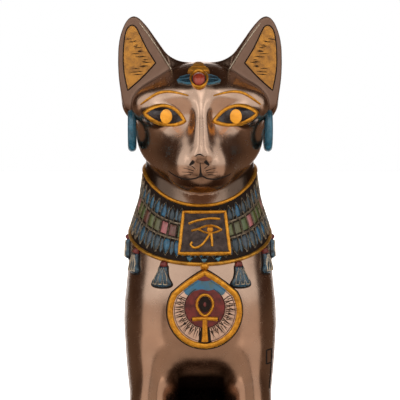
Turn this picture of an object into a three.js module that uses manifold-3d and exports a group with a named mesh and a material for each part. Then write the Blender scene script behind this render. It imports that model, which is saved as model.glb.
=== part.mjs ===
import * as THREE from 'three';
import { mergeVertices } from 'three/addons/utils/BufferGeometryUtils.js';
import { SimplifyModifier } from 'three/addons/modifiers/SimplifyModifier.js';
import Module from 'manifold-3d';

// Bastet cat figure: an upright seated cat with hoop earrings, a broad collar with a plaque and lotus
// tassels, and an ankh pendant, cast in one piece with its low base.
// Millimetres, +Z up, the cat faces -Y, the origin is at the bottom centre of the base.

const wasm = await Module();
wasm.setup();

// The base
const baseLength = 244; // front to back
const baseWidth = 150;
const baseHeight = 16;
const baseCornerRadius = 14;
const baseEdgeBevel = 1.5;
const castDepth = 4; // how far the cat runs down into its base

// The cat
const catHeight = 444; // ear tips above the base
const catSetBack = 1.8; // moves the cat along the base, so that its paws and rump overhang neither end

// The ornaments, standing proud of the cat's own surface
const rootDepth = 3; // how far every ornament runs into the cat
const collarThickness = 1;
const collarRimHeight = 2;
const collarRailHeight = 1.5;
const frameWidth = 2.6; // bars of the plaque
const frameHeight = 3;
const strokeHeight = 2.4; // the eye on the plaque and the ankh
const strokeWidth = 2.2;
const pendantThickness = 1.6;
const pendantRimWidth = 4.4;
const pendantRimHeight = 3;
const eyeRimWidth = 2;
const eyeRimHeight = 1.1;
const browLineWidth = 1.5;
const browLineHeight = 0.8;
const mouthWidth = 0.9;
const mouthDepth = 1;
const nostrilWidth = 3;
const hoopDiameter = 32; // earrings, outside
const hoopWire = 6.2;
const earBorder = 3.6; // raised edge around the panel inside each ear
const earPanelDepth = 1;
const tasselLength = 16;
const tasselWidth = 14.5;
const tasselHeight = 3.4;
const discDiameter = 11; // the stone that the scarab carries
const discHeight = 3.2;
const wingHeight = 1.4;
const crestHeight = 2;
const loopBeadHeight = 4; // bead from which the pendant hangs

// Cell sizes of the modelling grids, and how many triangles are left of the bare cat
const bodyCell = 6;
const pawCell = 4;
const headCell = 2.6;
const catTriangles = 3640;

// The free form is written in shares: hundredths of the cat's own height, up from the base's top face
const share = catHeight / 100;

const clamp = (value, low, high) => Math.min(Math.max(value, low), high);
const mix = (a, b, t) => a + (b - a) * t;

// Smooth curve through hand-chosen stations [height, value]
function stations(list) {
  return (height) => {
    const last = list.length - 1;
    let i = 0;
    while (i < last - 1 && height > list[i + 1][0]) i += 1;
    const [h0, v0] = list[i];
    const [h1, v1] = list[i + 1];
    const before = list[Math.max(i - 1, 0)];
    const after = list[Math.min(i + 2, last)];
    const t = clamp((height - h0) / (h1 - h0), 0, 1);
    const slope0 = (v1 - before[1]) / (h1 - before[0]) * (h1 - h0);
    const slope1 = (after[1] - v0) / (after[0] - h0) * (h1 - h0);
    const t2 = t * t;
    const t3 = t2 * t;
    const ends = (2 * t3 - 3 * t2 + 1) * v0 + (3 * t2 - 2 * t3) * v1;
    return ends + (t3 - 2 * t2 + t) * slope0 + (t3 - t2) * slope1;
  };
}

// Distance fields, negative inside. Each one is exact enough near its own surface.
function blend(a, b, width) {
  const overlap = Math.max(width - Math.abs(a - b), 0) / width;
  return Math.min(a, b) - overlap * overlap * width / 4;
}

const carve = (a, b, width) => -blend(-a, b, width);

function ellipsoid(x, y, z, [cx, cy, cz], [rx, ry, rz]) {
  const near = Math.hypot((x - cx) / rx, (y - cy) / ry, (z - cz) / rz);
  const steep = Math.hypot((x - cx) / rx ** 2, (y - cy) / ry ** 2, (z - cz) / rz ** 2);
  return steep > 0 ? near * (near - 1) / steep : -Math.min(rx, ry, rz);
}

function limb(x, y, z, [ax, ay, az], [bx, by, bz], startRadius, endRadius) {
  const [dx, dy, dz] = [bx - ax, by - ay, bz - az];
  const along = ((x - ax) * dx + (y - ay) * dy + (z - az) * dz) / (dx * dx + dy * dy + dz * dz);
  const t = clamp(along, 0, 1);
  return Math.hypot(x - ax - dx * t, y - ay - dy * t, z - az - dz * t) - mix(startRadius, endRadius, t);
}

function column(x, y, centreX, centreY, radiusX, radiusY) {
  return ellipsoid(x, y, 0, [centreX, centreY, 0], [radiusX, radiusY, 1]);
}

// Neck, chest and back in one: upright sections, from an ellipse (squareness 2) to a rounded block
const trunkHalfWidth = stations([[0, 11.2], [10, 12.2], [22, 12.5], [34, 11.6], [40, 11.4], [46, 11.9],
  [51, 12.3], [56, 12.0], [60, 11.6], [65, 11.2], [69, 10.0], [72, 9.3], [76, 8.8], [80, 8.4], [85, 7.4]]);
const trunkFront = stations([[0, -4], [14, -5.5], [28, -9], [37, -13], [41, -16.6], [45, -19.6], [48, -20.7],
  [52, -21], [57, -20.6], [62, -19.4], [67, -17.4], [71, -15.6], [75, -14], [80, -12], [85, -11]]);
const trunkBack = stations([[0, 22.6], [8, 23.4], [16, 22.6], [26, 19.6], [36, 15.8], [46, 11.8], [56, 7.8],
  [64, 4.8], [70, 3.2], [75, 2.3], [80, 1.6], [85, -0.4]]);
const trunkSquareness = stations([[0, 2], [20, 2.2], [36, 2.7], [46, 3], [54, 2.9], [60, 2.4], [66, 2.05],
  [70, 2], [85, 2]]);

function trunk(x, y, z) {
  const [front, back] = [trunkFront(z), trunkBack(z)];
  const [halfWidth, power] = [trunkHalfWidth(z), trunkSquareness(z)];
  const halfDepth = (back - front) / 2;
  const across = Math.abs(x) / halfWidth;
  const along = Math.abs(y - (front + back) / 2) / halfDepth;
  const near = Math.max((across ** power + along ** power) ** (1 / power), 1e-3);
  const steepAcross = (across / near) ** (power - 1) / halfWidth;
  const steepAlong = (along / near) ** (power - 1) / halfDepth;
  return (near - 1) / Math.max(Math.hypot(steepAcross, steepAlong), 1e-6);
}

const legCentreX = stations([[0, 6.5], [8, 6.8], [20, 7.5], [32, 7.9], [40, 7.7], [46, 7.1], [52, 6.6]]);
const legCentreY = stations([[0, -18.4], [4, -17.8], [12, -16.9], [24, -15.6], [36, -13.6], [44, -12.2],
  [48, -10.9], [52, -9]]);
const legHalfWidth = stations([[0, 3.5], [6, 3.1], [16, 3.2], [30, 3.5], [46, 3.5], [52, 3]]);
const legHalfDepth = stations([[0, 4.2], [6, 3.8], [16, 4.2], [26, 4.9], [36, 6.2], [44, 7.1], [48, 6.3],
  [52, 4]]);
const shoulderTop = 52;
const legBlend = 3.4;

function foreleg(x, y, z) {
  const side = column(x, y, legCentreX(z), legCentreY(z), legHalfWidth(z), legHalfDepth(z));
  return Math.max(side, z - shoulderTop);
}

// Toes in a row across the front of a paw, the outer ones set back
function toes(x, y, z, [centreX, frontY, centreZ], radius, count) {
  let row = 1e3;
  for (let i = 0; i < count; i += 1) {
    const across = i - (count - 1) / 2;
    const toe = [centreX + across * radius * 1.4, frontY + across * across * radius * 0.3, centreZ];
    row = blend(row, ellipsoid(x, y, z, toe, [radius, radius * 1.7, radius * 1.15]), radius * 0.4);
  }
  return row;
}

const frontToes = 4;
const hindToes = 3;

function forepaw(x, y, z) {
  const pad = ellipsoid(x, y, z, [6.5, -20.4, 1.4], [3.9, 4.2, 2.9]);
  return blend(pad, toes(x, y, z, [6.5, -22.8, 1.2], 1.5, frontToes), 0.8);
}

function hindpaw(x, y, z) {
  const foot = limb(x, y, z, [9.4, 4, 2.1], [9.4, -9.4, 1.6], 2.9, 2.5);
  return blend(foot, toes(x, y, z, [9.5, -10.6, 0.9], 1.45, hindToes), 1);
}

function haunch(x, y, z) {
  const thigh = ellipsoid(x, y, z, [7.4, 7.6, 14.6], [6.2, 12, 13.6]);
  const knee = ellipsoid(x, y, z, [9.6, 0.5, 8.5], [3.7, 6.6, 8.2]);
  return blend(thigh, knee, 2.5);
}

function roundedBlock(x, y, z, [cx, cy, cz], [hx, hy, hz], radius) {
  const [qx, qy, qz] = [Math.abs(x - cx) - hx + radius, Math.abs(y - cy) - hy + radius,
    Math.abs(z - cz) - hz + radius];
  const outside = Math.hypot(Math.max(qx, 0), Math.max(qy, 0), Math.max(qz, 0));
  return outside + Math.min(Math.max(qx, qy, qz), 0) - radius;
}

// The belly fills the space behind the forelegs, down to the base
const belly = (x, y, z) => roundedBlock(x, y, z, [0, -5, 14], [9.6, 8.6, 24], 3.5);

function body(x, y, z) {
  const side = Math.abs(x);
  let shape = blend(trunk(x, y, z), belly(x, y, z), 3);
  shape = blend(shape, foreleg(side, y, z), legBlend);
  shape = blend(shape, haunch(side, y, z), 1.6);
  shape = blend(shape, forepaw(side, y, z), 1);
  return blend(shape, hindpaw(side, y, z), 0.8);
}

// The head, from large forms to small. The lower face is a wedge in plan, and leans forward over the throat.
const cheekRadius = { x: 10.2, front: 12, back: 6.5, z: 7.2 };
const cheekCentre = { y: -7, z: 80.4 };
const cheekPower = 1.4;
const cheekLean = 0.14;

function cheeks(x, y, z) {
  const centreY = cheekCentre.y - cheekLean * clamp(cheekCentre.z - z, 0, 9) ** 2;
  const across = Math.abs(x) / cheekRadius.x;
  const reach = y < centreY ? cheekRadius.front : cheekRadius.back;
  const along = Math.abs(y - centreY) / reach;
  const plan = Math.max((across ** cheekPower + along ** cheekPower) ** (1 / cheekPower), 1e-3);
  const rise = (z - cheekCentre.z) / cheekRadius.z;
  const near = Math.max(Math.hypot(plan, rise), 1e-3);
  const steepAcross = (across / plan) ** (cheekPower - 1) * plan / near / cheekRadius.x;
  const steepAlong = (along / plan) ** (cheekPower - 1) * plan / near / reach;
  return (near - 1) / Math.max(Math.hypot(steepAcross, steepAlong, rise / near / cheekRadius.z), 1e-6);
}

function skull(x, y, z) {
  const side = Math.abs(x);
  let shape = ellipsoid(x, y, z, [0, -7.6, 84.6], [9.8, 9.4, 8]);
  shape = blend(shape, ellipsoid(side, y, z, [7, -8.6, 85.3], [3.9, 5.4, 3.7]), 1.6);
  return blend(shape, cheeks(x, y, z), 2);
}

function muzzle(x, y, z) {
  const side = Math.abs(x);
  let shape = ellipsoid(x, y, z, [0, -15.2, 77.2], [4, 5.9, 3.6]);
  shape = blend(shape, ellipsoid(side, y, z, [1.6, -18.6, 76.4], [2.4, 2.8, 2.2]), 2.5);
  return blend(shape, ellipsoid(x, y, z, [0, -17.4, 74.4], [2.8, 2.6, 1.6]), 1.4);
}

const eyeCentre = { x: 5.75, z: 84.2 };

function face(x, y, z) {
  const side = Math.abs(x);
  let shape = blend(skull(x, y, z), muzzle(x, y, z), 4.5);
  shape = blend(shape, limb(side, y, z, [2, -15.4, 87.2], [8.9, -11.4, 85.9], 0.8, 0.6), 3.5);
  const socket = ellipsoid(side, y, z, [eyeCentre.x + 0.5, -19.6, eyeCentre.z + 0.1], [3.95, 3.4, 2.2]);
  shape = carve(shape, socket, 2.4);
  shape = blend(shape, limb(x, y, z, [0, -15.4, 89.1], [0, -21.1, 79.15], 0.75, 0.75), 2);
  shape = blend(shape, ellipsoid(x, y, z, [0, -21.4, 78], [1.4, 1, 0.9]), 0.9);
  return blend(shape, ellipsoid(side, y, z, [eyeCentre.x, -13.4, eyeCentre.z], [3.5, 3.2, 1.9]), 0.8);
}

const throatBlend = 0.8;
const neckTop = 84;

function headAndNeck(x, y, z) {
  return blend(face(x, y, z), Math.max(trunk(x, y, z), z - neckTop), throatBlend);
}

// The body's net ends inside the collar, and so does the head's
const bodyTop = 72.5;
const headBottom = 66.5;

const whole = (x, y, z) => Math.min(Math.max(body(x, y, z), z - bodyTop), headAndNeck(x, y, z));

function slopeOf(field, x, y, z) {
  const e = 0.02;
  return new THREE.Vector3(
    field(x + e, y, z) - field(x - e, y, z),
    field(x, y + e, z) - field(x, y - e, z),
    field(x, y, z + e) - field(x, y, z - e),
  ).divideScalar(2 * e);
}

// From shares to millimetres on the base
function toModel([x, y, z]) {
  return new THREE.Vector3(x * share, y * share + catSetBack, z * share + baseHeight);
}

// Grid lines along one axis: runs of [from, to, cell], with one empty cell beyond each end
function gridLines(runs) {
  const [start, , firstCell] = runs[0];
  const [, end, lastCell] = runs[runs.length - 1];
  const lines = [start - firstCell, start];
  for (const [from, to, cell] of runs) {
    const count = Math.max(Math.round((to - from) / cell), 1);
    for (let i = 1; i <= count; i += 1) lines.push(mix(from, to, i / count));
  }
  return [...lines, end + lastCell];
}

// A surface net: one vertex in each cell that the surface crosses, one quad around each crossed grid edge
function surfaceNet(field, axes) {
  const size = axes.map((lines) => lines.length);
  const index = (i, j, k) => i + size[0] * (j + size[1] * k);
  const values = new Float64Array(size[0] * size[1] * size[2]);
  for (let k = 0; k < size[2]; k += 1) {
    for (let j = 0; j < size[1]; j += 1) {
      for (let i = 0; i < size[0]; i += 1) {
        values[index(i, j, k)] = field(axes[0][i], axes[1][j], axes[2][k]);
      }
    }
  }
  const points = [];
  const cellVertex = new Map();
  for (let k = 0; k < size[2] - 1; k += 1) {
    for (let j = 0; j < size[1] - 1; j += 1) {
      for (let i = 0; i < size[0] - 1; i += 1) {
        const crossing = cellCrossing(axes, values, index, i, j, k);
        if (!crossing) continue;
        cellVertex.set(index(i, j, k), points.length);
        points.push(settle(field, crossing));
      }
    }
  }
  const triangles = [];
  for (let k = 1; k < size[2] - 1; k += 1) {
    for (let j = 1; j < size[1] - 1; j += 1) {
      for (let i = 1; i < size[0] - 1; i += 1) {
        addQuads(triangles, points, cellVertex, values, index, i, j, k);
      }
    }
  }
  return { points, triangles };
}

// Mean of the points where a cell's edges cross the surface
function cellCrossing(axes, values, index, i, j, k) {
  const sum = new THREE.Vector3();
  let count = 0;
  for (let corner = 0; corner < 8; corner += 1) {
    const c = [corner & 1, (corner >> 1) & 1, (corner >> 2) & 1];
    const value = values[index(i + c[0], j + c[1], k + c[2])];
    for (let axis = 0; axis < 3; axis += 1) {
      if (c[axis] === 1) continue;
      const d = [...c];
      d[axis] = 1;
      const other = values[index(i + d[0], j + d[1], k + d[2])];
      if (value < 0 === other < 0) continue;
      const t = value / (value - other);
      sum.x += mix(axes[0][i + c[0]], axes[0][i + d[0]], t);
      sum.y += mix(axes[1][j + c[1]], axes[1][j + d[1]], t);
      sum.z += mix(axes[2][k + c[2]], axes[2][k + d[2]], t);
      count += 1;
    }
  }
  return count > 0 ? sum.divideScalar(count) : null;
}

// Moves a point down the field's slope until it lies on the surface
function settle(field, point) {
  for (let round = 0; round < 3; round += 1) {
    const value = field(point.x, point.y, point.z);
    const slope = slopeOf(field, point.x, point.y, point.z);
    const steep = slope.lengthSq();
    if (steep > 0.05) point.addScaledVector(slope, clamp(-value, -1, 1) / steep);
  }
  return point;
}

function addQuads(triangles, points, cellVertex, values, index, i, j, k) {
  const here = values[index(i, j, k)];
  const around = [
    [[i + 1, j, k], [[0, -1, -1], [0, 0, -1], [0, 0, 0], [0, -1, 0]]],
    [[i, j + 1, k], [[-1, 0, -1], [-1, 0, 0], [0, 0, 0], [0, 0, -1]]],
    [[i, j, k + 1], [[-1, -1, 0], [0, -1, 0], [0, 0, 0], [-1, 0, 0]]],
  ];
  for (const [end, cells] of around) {
    const there = values[index(...end)];
    if (here < 0 === there < 0) continue;
    const quad = cells.map(([a, b, c]) => cellVertex.get(index(i + a, j + b, k + c)));
    if (there < 0) quad.reverse();
    const [a, b, c, d] = quad;
    const straight = points[a].distanceToSquared(points[c]) <= points[b].distanceToSquared(points[d]);
    if (straight) triangles.push(a, b, c, a, c, d);
    else triangles.push(b, c, d, b, d, a);
  }
}

function geometryFrom(points, triangles) {
  const geometry = new THREE.BufferGeometry();
  const numbers = points.flatMap((p) => [p.x, p.y, p.z]);
  geometry.setAttribute('position', new THREE.Float32BufferAttribute(numbers, 3));
  return geometry.setIndex(triangles);
}

// A closed three.js geometry as a solid for joining and cutting
function solidFrom(geometry) {
  const bare = geometry.clone();
  bare.deleteAttribute('normal');
  bare.deleteAttribute('uv');
  const merged = mergeVertices(bare, 1e-4);
  const vertProperties = new Float32Array(merged.attributes.position.array);
  const triVerts = new Uint32Array(merged.index.array);
  return new wasm.Manifold(new wasm.Mesh({ numProp: 3, vertProperties, triVerts }));
}

// A skin of rings, each a closed loop of points, closed by a fan at each end or joined end to end
function loft(rings, endless = false) {
  const around = rings[0].length;
  const points = rings.flat();
  const triangles = [];
  const spans = endless ? rings.length : rings.length - 1;
  for (let r = 0; r < spans; r += 1) {
    const next = (r + 1) % rings.length;
    for (let i = 0; i < around; i += 1) {
      const n = (i + 1) % around;
      const [a, b, c, d] = [r * around + i, r * around + n, next * around + n, next * around + i];
      triangles.push(a, b, c, a, c, d);
    }
  }
  if (!endless) {
    for (const [ring, flip] of [[0, true], [rings.length - 1, false]]) {
      const centre = points.length;
      points.push(rings[ring].reduce((sum, p) => sum.add(p), new THREE.Vector3()).divideScalar(around));
      for (let i = 0; i < around; i += 1) {
        const a = ring * around + i;
        const b = ring * around + (i + 1) % around;
        if (flip) triangles.push(centre, b, a);
        else triangles.push(centre, a, b);
      }
    }
  }
  return outward(geometryFrom(points, triangles));
}

// Turns every triangle round if the geometry is inside out
function outward(geometry) {
  const position = geometry.attributes.position;
  const [a, b, c] = [new THREE.Vector3(), new THREE.Vector3(), new THREE.Vector3()];
  const order = geometry.index.array;
  let volume = 0;
  for (let i = 0; i < order.length; i += 3) {
    a.fromBufferAttribute(position, order[i]);
    b.fromBufferAttribute(position, order[i + 1]);
    c.fromBufferAttribute(position, order[i + 2]);
    volume += a.dot(b.cross(c));
  }
  if (volume < 0) {
    for (let i = 0; i < order.length; i += 3) [order[i], order[i + 1]] = [order[i + 1], order[i]];
  }
  return geometry;
}

// The cat's surface met by a ray, in shares: the ray goes most of the distance that is left, many times
const raySteps = 60;
const rayStride = 0.8;

function surfacePoint(field, start, direction) {
  const point = start.clone();
  for (let step = 0; step < raySteps; step += 1) {
    point.addScaledVector(direction, field(point.x, point.y, point.z) * rayStride);
  }
  return point;
}

// That point in the model, lifted out of the surface by some millimetres
function lifted(field, point, lift) {
  const out = slopeOf(field, point.x, point.y, point.z).normalize();
  return toModel(point.toArray()).addScaledVector(out, lift);
}

const inFront = -40;
const backwards = new THREE.Vector3(0, 1, 0);

// A point on the cat's front at (x, z), lifted out of its surface
function onFront(x, z, lift) {
  return lifted(whole, surfacePoint(whole, new THREE.Vector3(x, inFront, z), backwards), lift);
}

// A raised line on the cat's front along points (x, z) in shares, its width in millimetres
function ribbon(path, width, height, closed = false) {
  const count = path.length;
  const widthAt = typeof width === 'function' ? width : () => width;
  const rings = path.map(([x, z], i) => {
    const before = path[closed ? (i + count - 1) % count : Math.max(i - 1, 0)];
    const after = path[closed ? (i + 1) % count : Math.min(i + 1, count - 1)];
    const run = new THREE.Vector2(after[0] - before[0], after[1] - before[1]).normalize();
    const half = widthAt(i / (count - 1)) / 2 / share;
    const [ax, az] = [-run.y * half, run.x * half];
    return [onFront(x - ax, z - az, -rootDepth), onFront(x - ax * 0.8, z - az * 0.8, height),
      onFront(x + ax * 0.8, z + az * 0.8, height), onFront(x + ax, z + az, -rootDepth)];
  });
  return loft(rings, closed);
}

// A raised plate on the cat's front: rings of its outline drawn in towards a centre
function plate(outline, [centreX, centreZ], height) {
  const ringAt = (scale, lift) => outline.map(([x, z]) => (
    onFront(mix(centreX, x, scale), mix(centreZ, z, scale), lift)));
  return loft([ringAt(0.5, -rootDepth), ringAt(1, -rootDepth), ringAt(1, height), ringAt(0.66, height),
    ringAt(0.33, height)]);
}

// The tool that cuts a groove along points (x, z) in shares: three-cornered, open towards the front
function groove(path, width, depth) {
  const rings = path.map(([x, z], i) => {
    const before = path[Math.max(i - 1, 0)];
    const after = path[Math.min(i + 1, path.length - 1)];
    const run = new THREE.Vector2(after[0] - before[0], after[1] - before[1]).normalize();
    const fade = i === 0 || i === path.length - 1 ? 0.4 : 1;
    const [ax, az] = [-run.y * width / share, run.x * width / share];
    return [onFront(x - ax, z - az, depth), onFront(x, z, -depth * fade), onFront(x + ax, z + az, depth)];
  });
  return loft(rings);
}

// Points of an arc or ellipse, angles in degrees
function arc([cx, cz], [rx, rz], from, to, steps) {
  return Array.from({ length: steps + 1 }, (_, i) => {
    const angle = THREE.MathUtils.degToRad(mix(from, to, i / steps));
    return [cx + rx * Math.cos(angle), cz + rz * Math.sin(angle)];
  });
}

// Points of a whole circle or ellipse, the first one not repeated
const circle = (centre, radii, count) => arc(centre, radii, 0, 360, count).slice(0, -1);

function base() {
  const [halfX, halfY] = [baseWidth / 2 - baseEdgeBevel, baseLength / 2 - baseEdgeBevel];
  const r = baseCornerRadius;
  const outline = new THREE.Shape();
  outline.moveTo(-halfX + r, -halfY);
  outline.lineTo(halfX - r, -halfY);
  outline.absarc(halfX - r, -halfY + r, r, -Math.PI / 2, 0);
  outline.lineTo(halfX, halfY - r);
  outline.absarc(halfX - r, halfY - r, r, 0, Math.PI / 2);
  outline.lineTo(-halfX + r, halfY);
  outline.absarc(-halfX + r, halfY - r, r, Math.PI / 2, Math.PI);
  outline.lineTo(-halfX, -halfY + r);
  outline.absarc(-halfX + r, -halfY + r, r, Math.PI, Math.PI * 1.5);
  const slab = new THREE.ExtrudeGeometry(outline, {
    depth: baseHeight - 2 * baseEdgeBevel,
    bevelThickness: baseEdgeBevel,
    bevelSize: baseEdgeBevel,
    bevelSegments: 1,
    curveSegments: 4,
  });
  return slab.translate(0, 0, baseEdgeBevel);
}

function bodySkin() {
  const [cell, fine] = [bodyCell / share, pawCell / share];
  const foot = -castDepth / share;
  const axes = [
    gridLines([[-14.5, 14.5, cell]]),
    gridLines([[-26, -9, fine], [-9, 24.5, cell]]),
    gridLines([[foot, 5, fine], [5, bodyTop, cell]]),
  ];
  const field = (x, y, z) => Math.max(body(x, y, z), z - bodyTop, foot - z);
  const net = surfaceNet(field, axes);
  return geometryFrom(net.points.map((p) => toModel(p.toArray())), net.triangles);
}

function headSkin() {
  const cell = headCell / share;
  const axes = [
    gridLines([[-13, 13, cell]]),
    gridLines([[-25.5, -14, cell], [-14, 4.5, cell * 1.5]]),
    gridLines([[headBottom, 72, cell * 1.5], [72, 94, cell]]),
  ];
  const net = surfaceNet((x, y, z) => Math.max(headAndNeck(x, y, z), headBottom - z), axes);
  return geometryFrom(net.points.map((p) => toModel(p.toArray())), net.triangles);
}

// One ear, in shares, on the side that the sign gives. Its flat face looks forwards and a little outwards.
const earTip = { x: 10.8, z: 100 };
const earInnerFoot = { x: 2.8, z: 88.4 };
const earOuterFoot = { x: 11.7, z: 84.6 };
const earOuterBow = { x: 15, z: 95 };
const earTipWidth = 0.9;
const earBackDepth = 7;
const earMedialBulge = 4.6;

// The flat face lies on a plane: its depth at (x, z)
const earFaceY = (x, z) => -10.3 + (x - 4) * 0.2 + (z - 90) * 0.16;

function earOuterEdge(t) {
  const s = 1 - t;
  return { x: s * s * earOuterFoot.x + 2 * s * t * earOuterBow.x + t * t * (earTip.x + earTipWidth / 2),
    z: s * s * earOuterFoot.z + 2 * s * t * earOuterBow.z + t * t * earTip.z };
}

function earInnerEdge(t) {
  return { x: mix(earInnerFoot.x, earTip.x - earTipWidth / 2, t), z: mix(earInnerFoot.z, earTip.z, t) };
}

const earLevels = 14;

function ear(sign) {
  const levels = Array.from({ length: earLevels + 1 }, (_, i) => i / earLevels);
  const arcSteps = 16;
  const rings = levels.map((t) => {
    const inner = earInnerEdge(t);
    const outer = earOuterEdge(t);
    const depth = mix(earBackDepth, 0.5, t ** 0.8);
    const bulge = earMedialBulge * (1 - t) ** 0.8;
    const ring = [];
    for (let i = 0; i <= arcSteps; i += 1) {
      const angle = Math.PI * i / arcSteps;
      const across = (1 - Math.cos(angle)) / 2;
      const medial = bulge * Math.sin(angle) * (1 - across);
      const x = mix(inner.x, outer.x, across) - medial;
      const z = mix(inner.z, outer.z, across) + medial * 0.4;
      const face = earFaceY(mix(inner.x, outer.x, across), mix(inner.z, outer.z, across));
      ring.push(toModel([sign * x, face + depth * Math.sin(angle), z]));
    }
    return ring;
  });
  return loft(rings);
}

// The panel sunk into an ear's face: a three-cornered prism that is cut away
const earPanelInner = { x: 7.3, z: 92.3 };

function earPanel(sign) {
  const border = earBorder / share;
  const edge = [[earPanelInner.x, earPanelInner.z]];
  for (const t of [0.22, 0.34, 0.5, 0.66, 0.8, 0.9]) {
    const outer = earOuterEdge(t);
    edge.push([outer.x - border, outer.z]);
  }
  const depth = earPanelDepth / share;
  const loop = (out) => edge.map(([x, z]) => toModel([sign * x, earFaceY(x, z) + out, z]));
  return loft([loop(depth), loop(-2)]);
}

// An earring: a thick hoop against the cheek, hung from the ear
const hoopCentre = { x: 10.95, y: -8, z: 81.6 };

function earring(sign) {
  const ring = new THREE.TorusGeometry((hoopDiameter - hoopWire) / 2, hoopWire / 2, 6, 14);
  ring.rotateY(Math.PI / 2);
  const centre = toModel([sign * hoopCentre.x, hoopCentre.y, hoopCentre.z]);
  return ring.translate(centre.x, centre.y, centre.z);
}

// The collar: its two edges ride up towards the back of the neck
const collarAxisY = -6.5;
const collarTop = (forward) => 75.2 - 3.2 * forward - 1.9 * forward * forward;
const collarFoot = (forward) => 65 - 3 * forward - 1.4 * forward * forward;
const collarSteps = 28;

// Height of the collar's surface across its width, from its lower edge to its upper edge
const collarProfile = [[0, -rootDepth], [0, collarRimHeight], [0.07, collarRimHeight],
  [0.09, collarThickness], [0.4, collarThickness], [0.42, collarRailHeight], [0.44, collarThickness],
  [0.66, collarThickness], [0.68, collarRailHeight], [0.7, collarThickness], [0.92, collarThickness],
  [0.94, collarRimHeight], [1, collarRimHeight], [1, -rootDepth]];

// A point on the trunk at an angle from straight ahead, at a share of the collar's width above its lower edge
function collarPoint(angle, up, lift, forward = Math.cos(angle)) {
  const z = mix(collarFoot(forward), collarTop(forward), up);
  const out = new THREE.Vector3(Math.sin(angle), -Math.cos(angle), 0);
  const start = new THREE.Vector3(0, collarAxisY, z).addScaledVector(out, 30);
  return lifted(trunk, surfacePoint(trunk, start, out.clone().negate()), lift);
}

function collar() {
  const rings = Array.from({ length: collarSteps }, (_, i) => {
    const angle = 2 * Math.PI * i / collarSteps;
    return collarProfile.map(([up, lift]) => collarPoint(angle, up, lift));
  });
  return loft(rings, true);
}

// The plaque on the collar's front, wider at its foot
const plaque = { x: 0.5, top: 68.9, foot: 62.3, halfTop: 3.4, halfFoot: 4.2 };

function plaqueCorner(side, level) {
  const half = level > 0 ? plaque.halfTop : plaque.halfFoot;
  return [plaque.x + side * half, level > 0 ? plaque.top : plaque.foot];
}

function subdivide(path, steps) {
  const points = [path[0]];
  for (let i = 1; i < path.length; i += 1) {
    for (let s = 1; s <= steps; s += 1) {
      points.push([mix(path[i - 1][0], path[i][0], s / steps), mix(path[i - 1][1], path[i][1], s / steps)]);
    }
  }
  return points;
}

function plaqueParts() {
  const corners = [[-1, 1], [1, 1], [1, -1], [-1, -1]].map(([side, level]) => plaqueCorner(side, level));
  const outline = subdivide([...corners, corners[0]], 2).slice(0, -1);
  const centre = [plaque.x, (plaque.top + plaque.foot) / 2];
  return [plate(outline, centre, collarThickness + 0.6), ...eyeOfHorus(centre),
    ribbon(outline, frameWidth, frameHeight, true)];
}

// The eye sign: brow, lids, pupil, drop and curled line, drawn around the plaque's centre in shares
function eyeOfHorus([cx, cz]) {
  const at = (list) => list.map(([x, z]) => [cx + x, cz + z]);
  const brow = at([[-2.3, 1.5], [-1, 2.25], [0.8, 2.35], [2.5, 1.9]]);
  const upperLid = at([[-2, 0.5], [-1, 0.8], [0.4, 1.35], [1.6, 1.1], [2.9, 0.35]]);
  const lowerLid = at([[-1.2, 0.45], [0.2, 0.05], [1.4, 0], [2.9, 0.35]]);
  const curl = at([[0.8, 0], [0.1, -1], [-0.9, -2], [-1.9, -2.1], [-2, -1.3]]);
  const drop = at([[1, 0], [1.05, -1], [1.1, -2.1]]);
  const pupil = circle([cx + 0.7, cz + 0.7], [0.5, 0.5], 8);
  const width = strokeWidth * 0.75;
  const strokes = [brow, upperLid, lowerLid, curl, drop].map((path) => ribbon(path, width, strokeHeight));
  return [...strokes, plate(pupil, [cx + 0.7, cz + 0.7], strokeHeight)];
}

// The pendant: a drop-shaped plate with a raised rim and an ankh
const pendant = { x: 0.5, top: 60.4, centreZ: 53.6, half: 6.05 };
const pendantShoulder = 60; // half the angle of the pointed top, seen from the centre, in degrees
const ankh = { x: 0.52, foot: 49, bar: 52.6, barHalf: 1.95, loopTop: 56.3, loopHalf: 1.15 };

function pendantOutline(inset) {
  const half = pendant.half - inset;
  const centre = [pendant.x, pendant.centreZ];
  const round = arc(centre, [half, half], pendantShoulder - 270, 90 - pendantShoulder, 16);
  const apex = [pendant.x, pendant.top - inset * 1.15];
  return [...round, ...subdivide([round[round.length - 1], apex, round[0]], 2).slice(1, -1)];
}

function pendantParts() {
  const rimCentre = pendantRimWidth / 2 / share;
  const loopHeight = ankh.loopTop - ankh.bar;
  const loop = circle([ankh.x, ankh.bar + loopHeight / 2], [ankh.loopHalf, loopHeight / 2], 12);
  const bar = [-1, 0, 1].map((side) => [ankh.x + side * ankh.barHalf, ankh.bar]);
  const shaft = subdivide([[ankh.x, ankh.bar + 0.3], [ankh.x, ankh.foot]], 3);
  const bead = [pendant.x, pendant.top + 0.5];
  return [
    plate(pendantOutline(rimCentre), [pendant.x, pendant.centreZ], pendantThickness),
    ribbon(pendantOutline(rimCentre), pendantRimWidth, pendantRimHeight, true),
    ribbon(loop, strokeWidth, strokeHeight + 0.6, true),
    ribbon(bar, strokeWidth * 1.3, strokeHeight + 0.8),
    ribbon(shaft, (t) => strokeWidth * mix(1.4, 2.3, t), strokeHeight + 0.7),
    plate(circle(bead, [0.8, 0.8], 8), bead, loopBeadHeight),
  ];
}

// Lotus tassels hung along the collar's lower edge, on each side of the pendant
const tasselPairs = 6;
const firstTassel = 0.45; // angle from straight ahead, in radians
const tasselSpacing = 0.5;
const tasselSections = [[0.05, 0.5], [-0.28, 0.56], [-0.62, 0.76], [-1, 1]]; // [length, width] as shares

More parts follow.
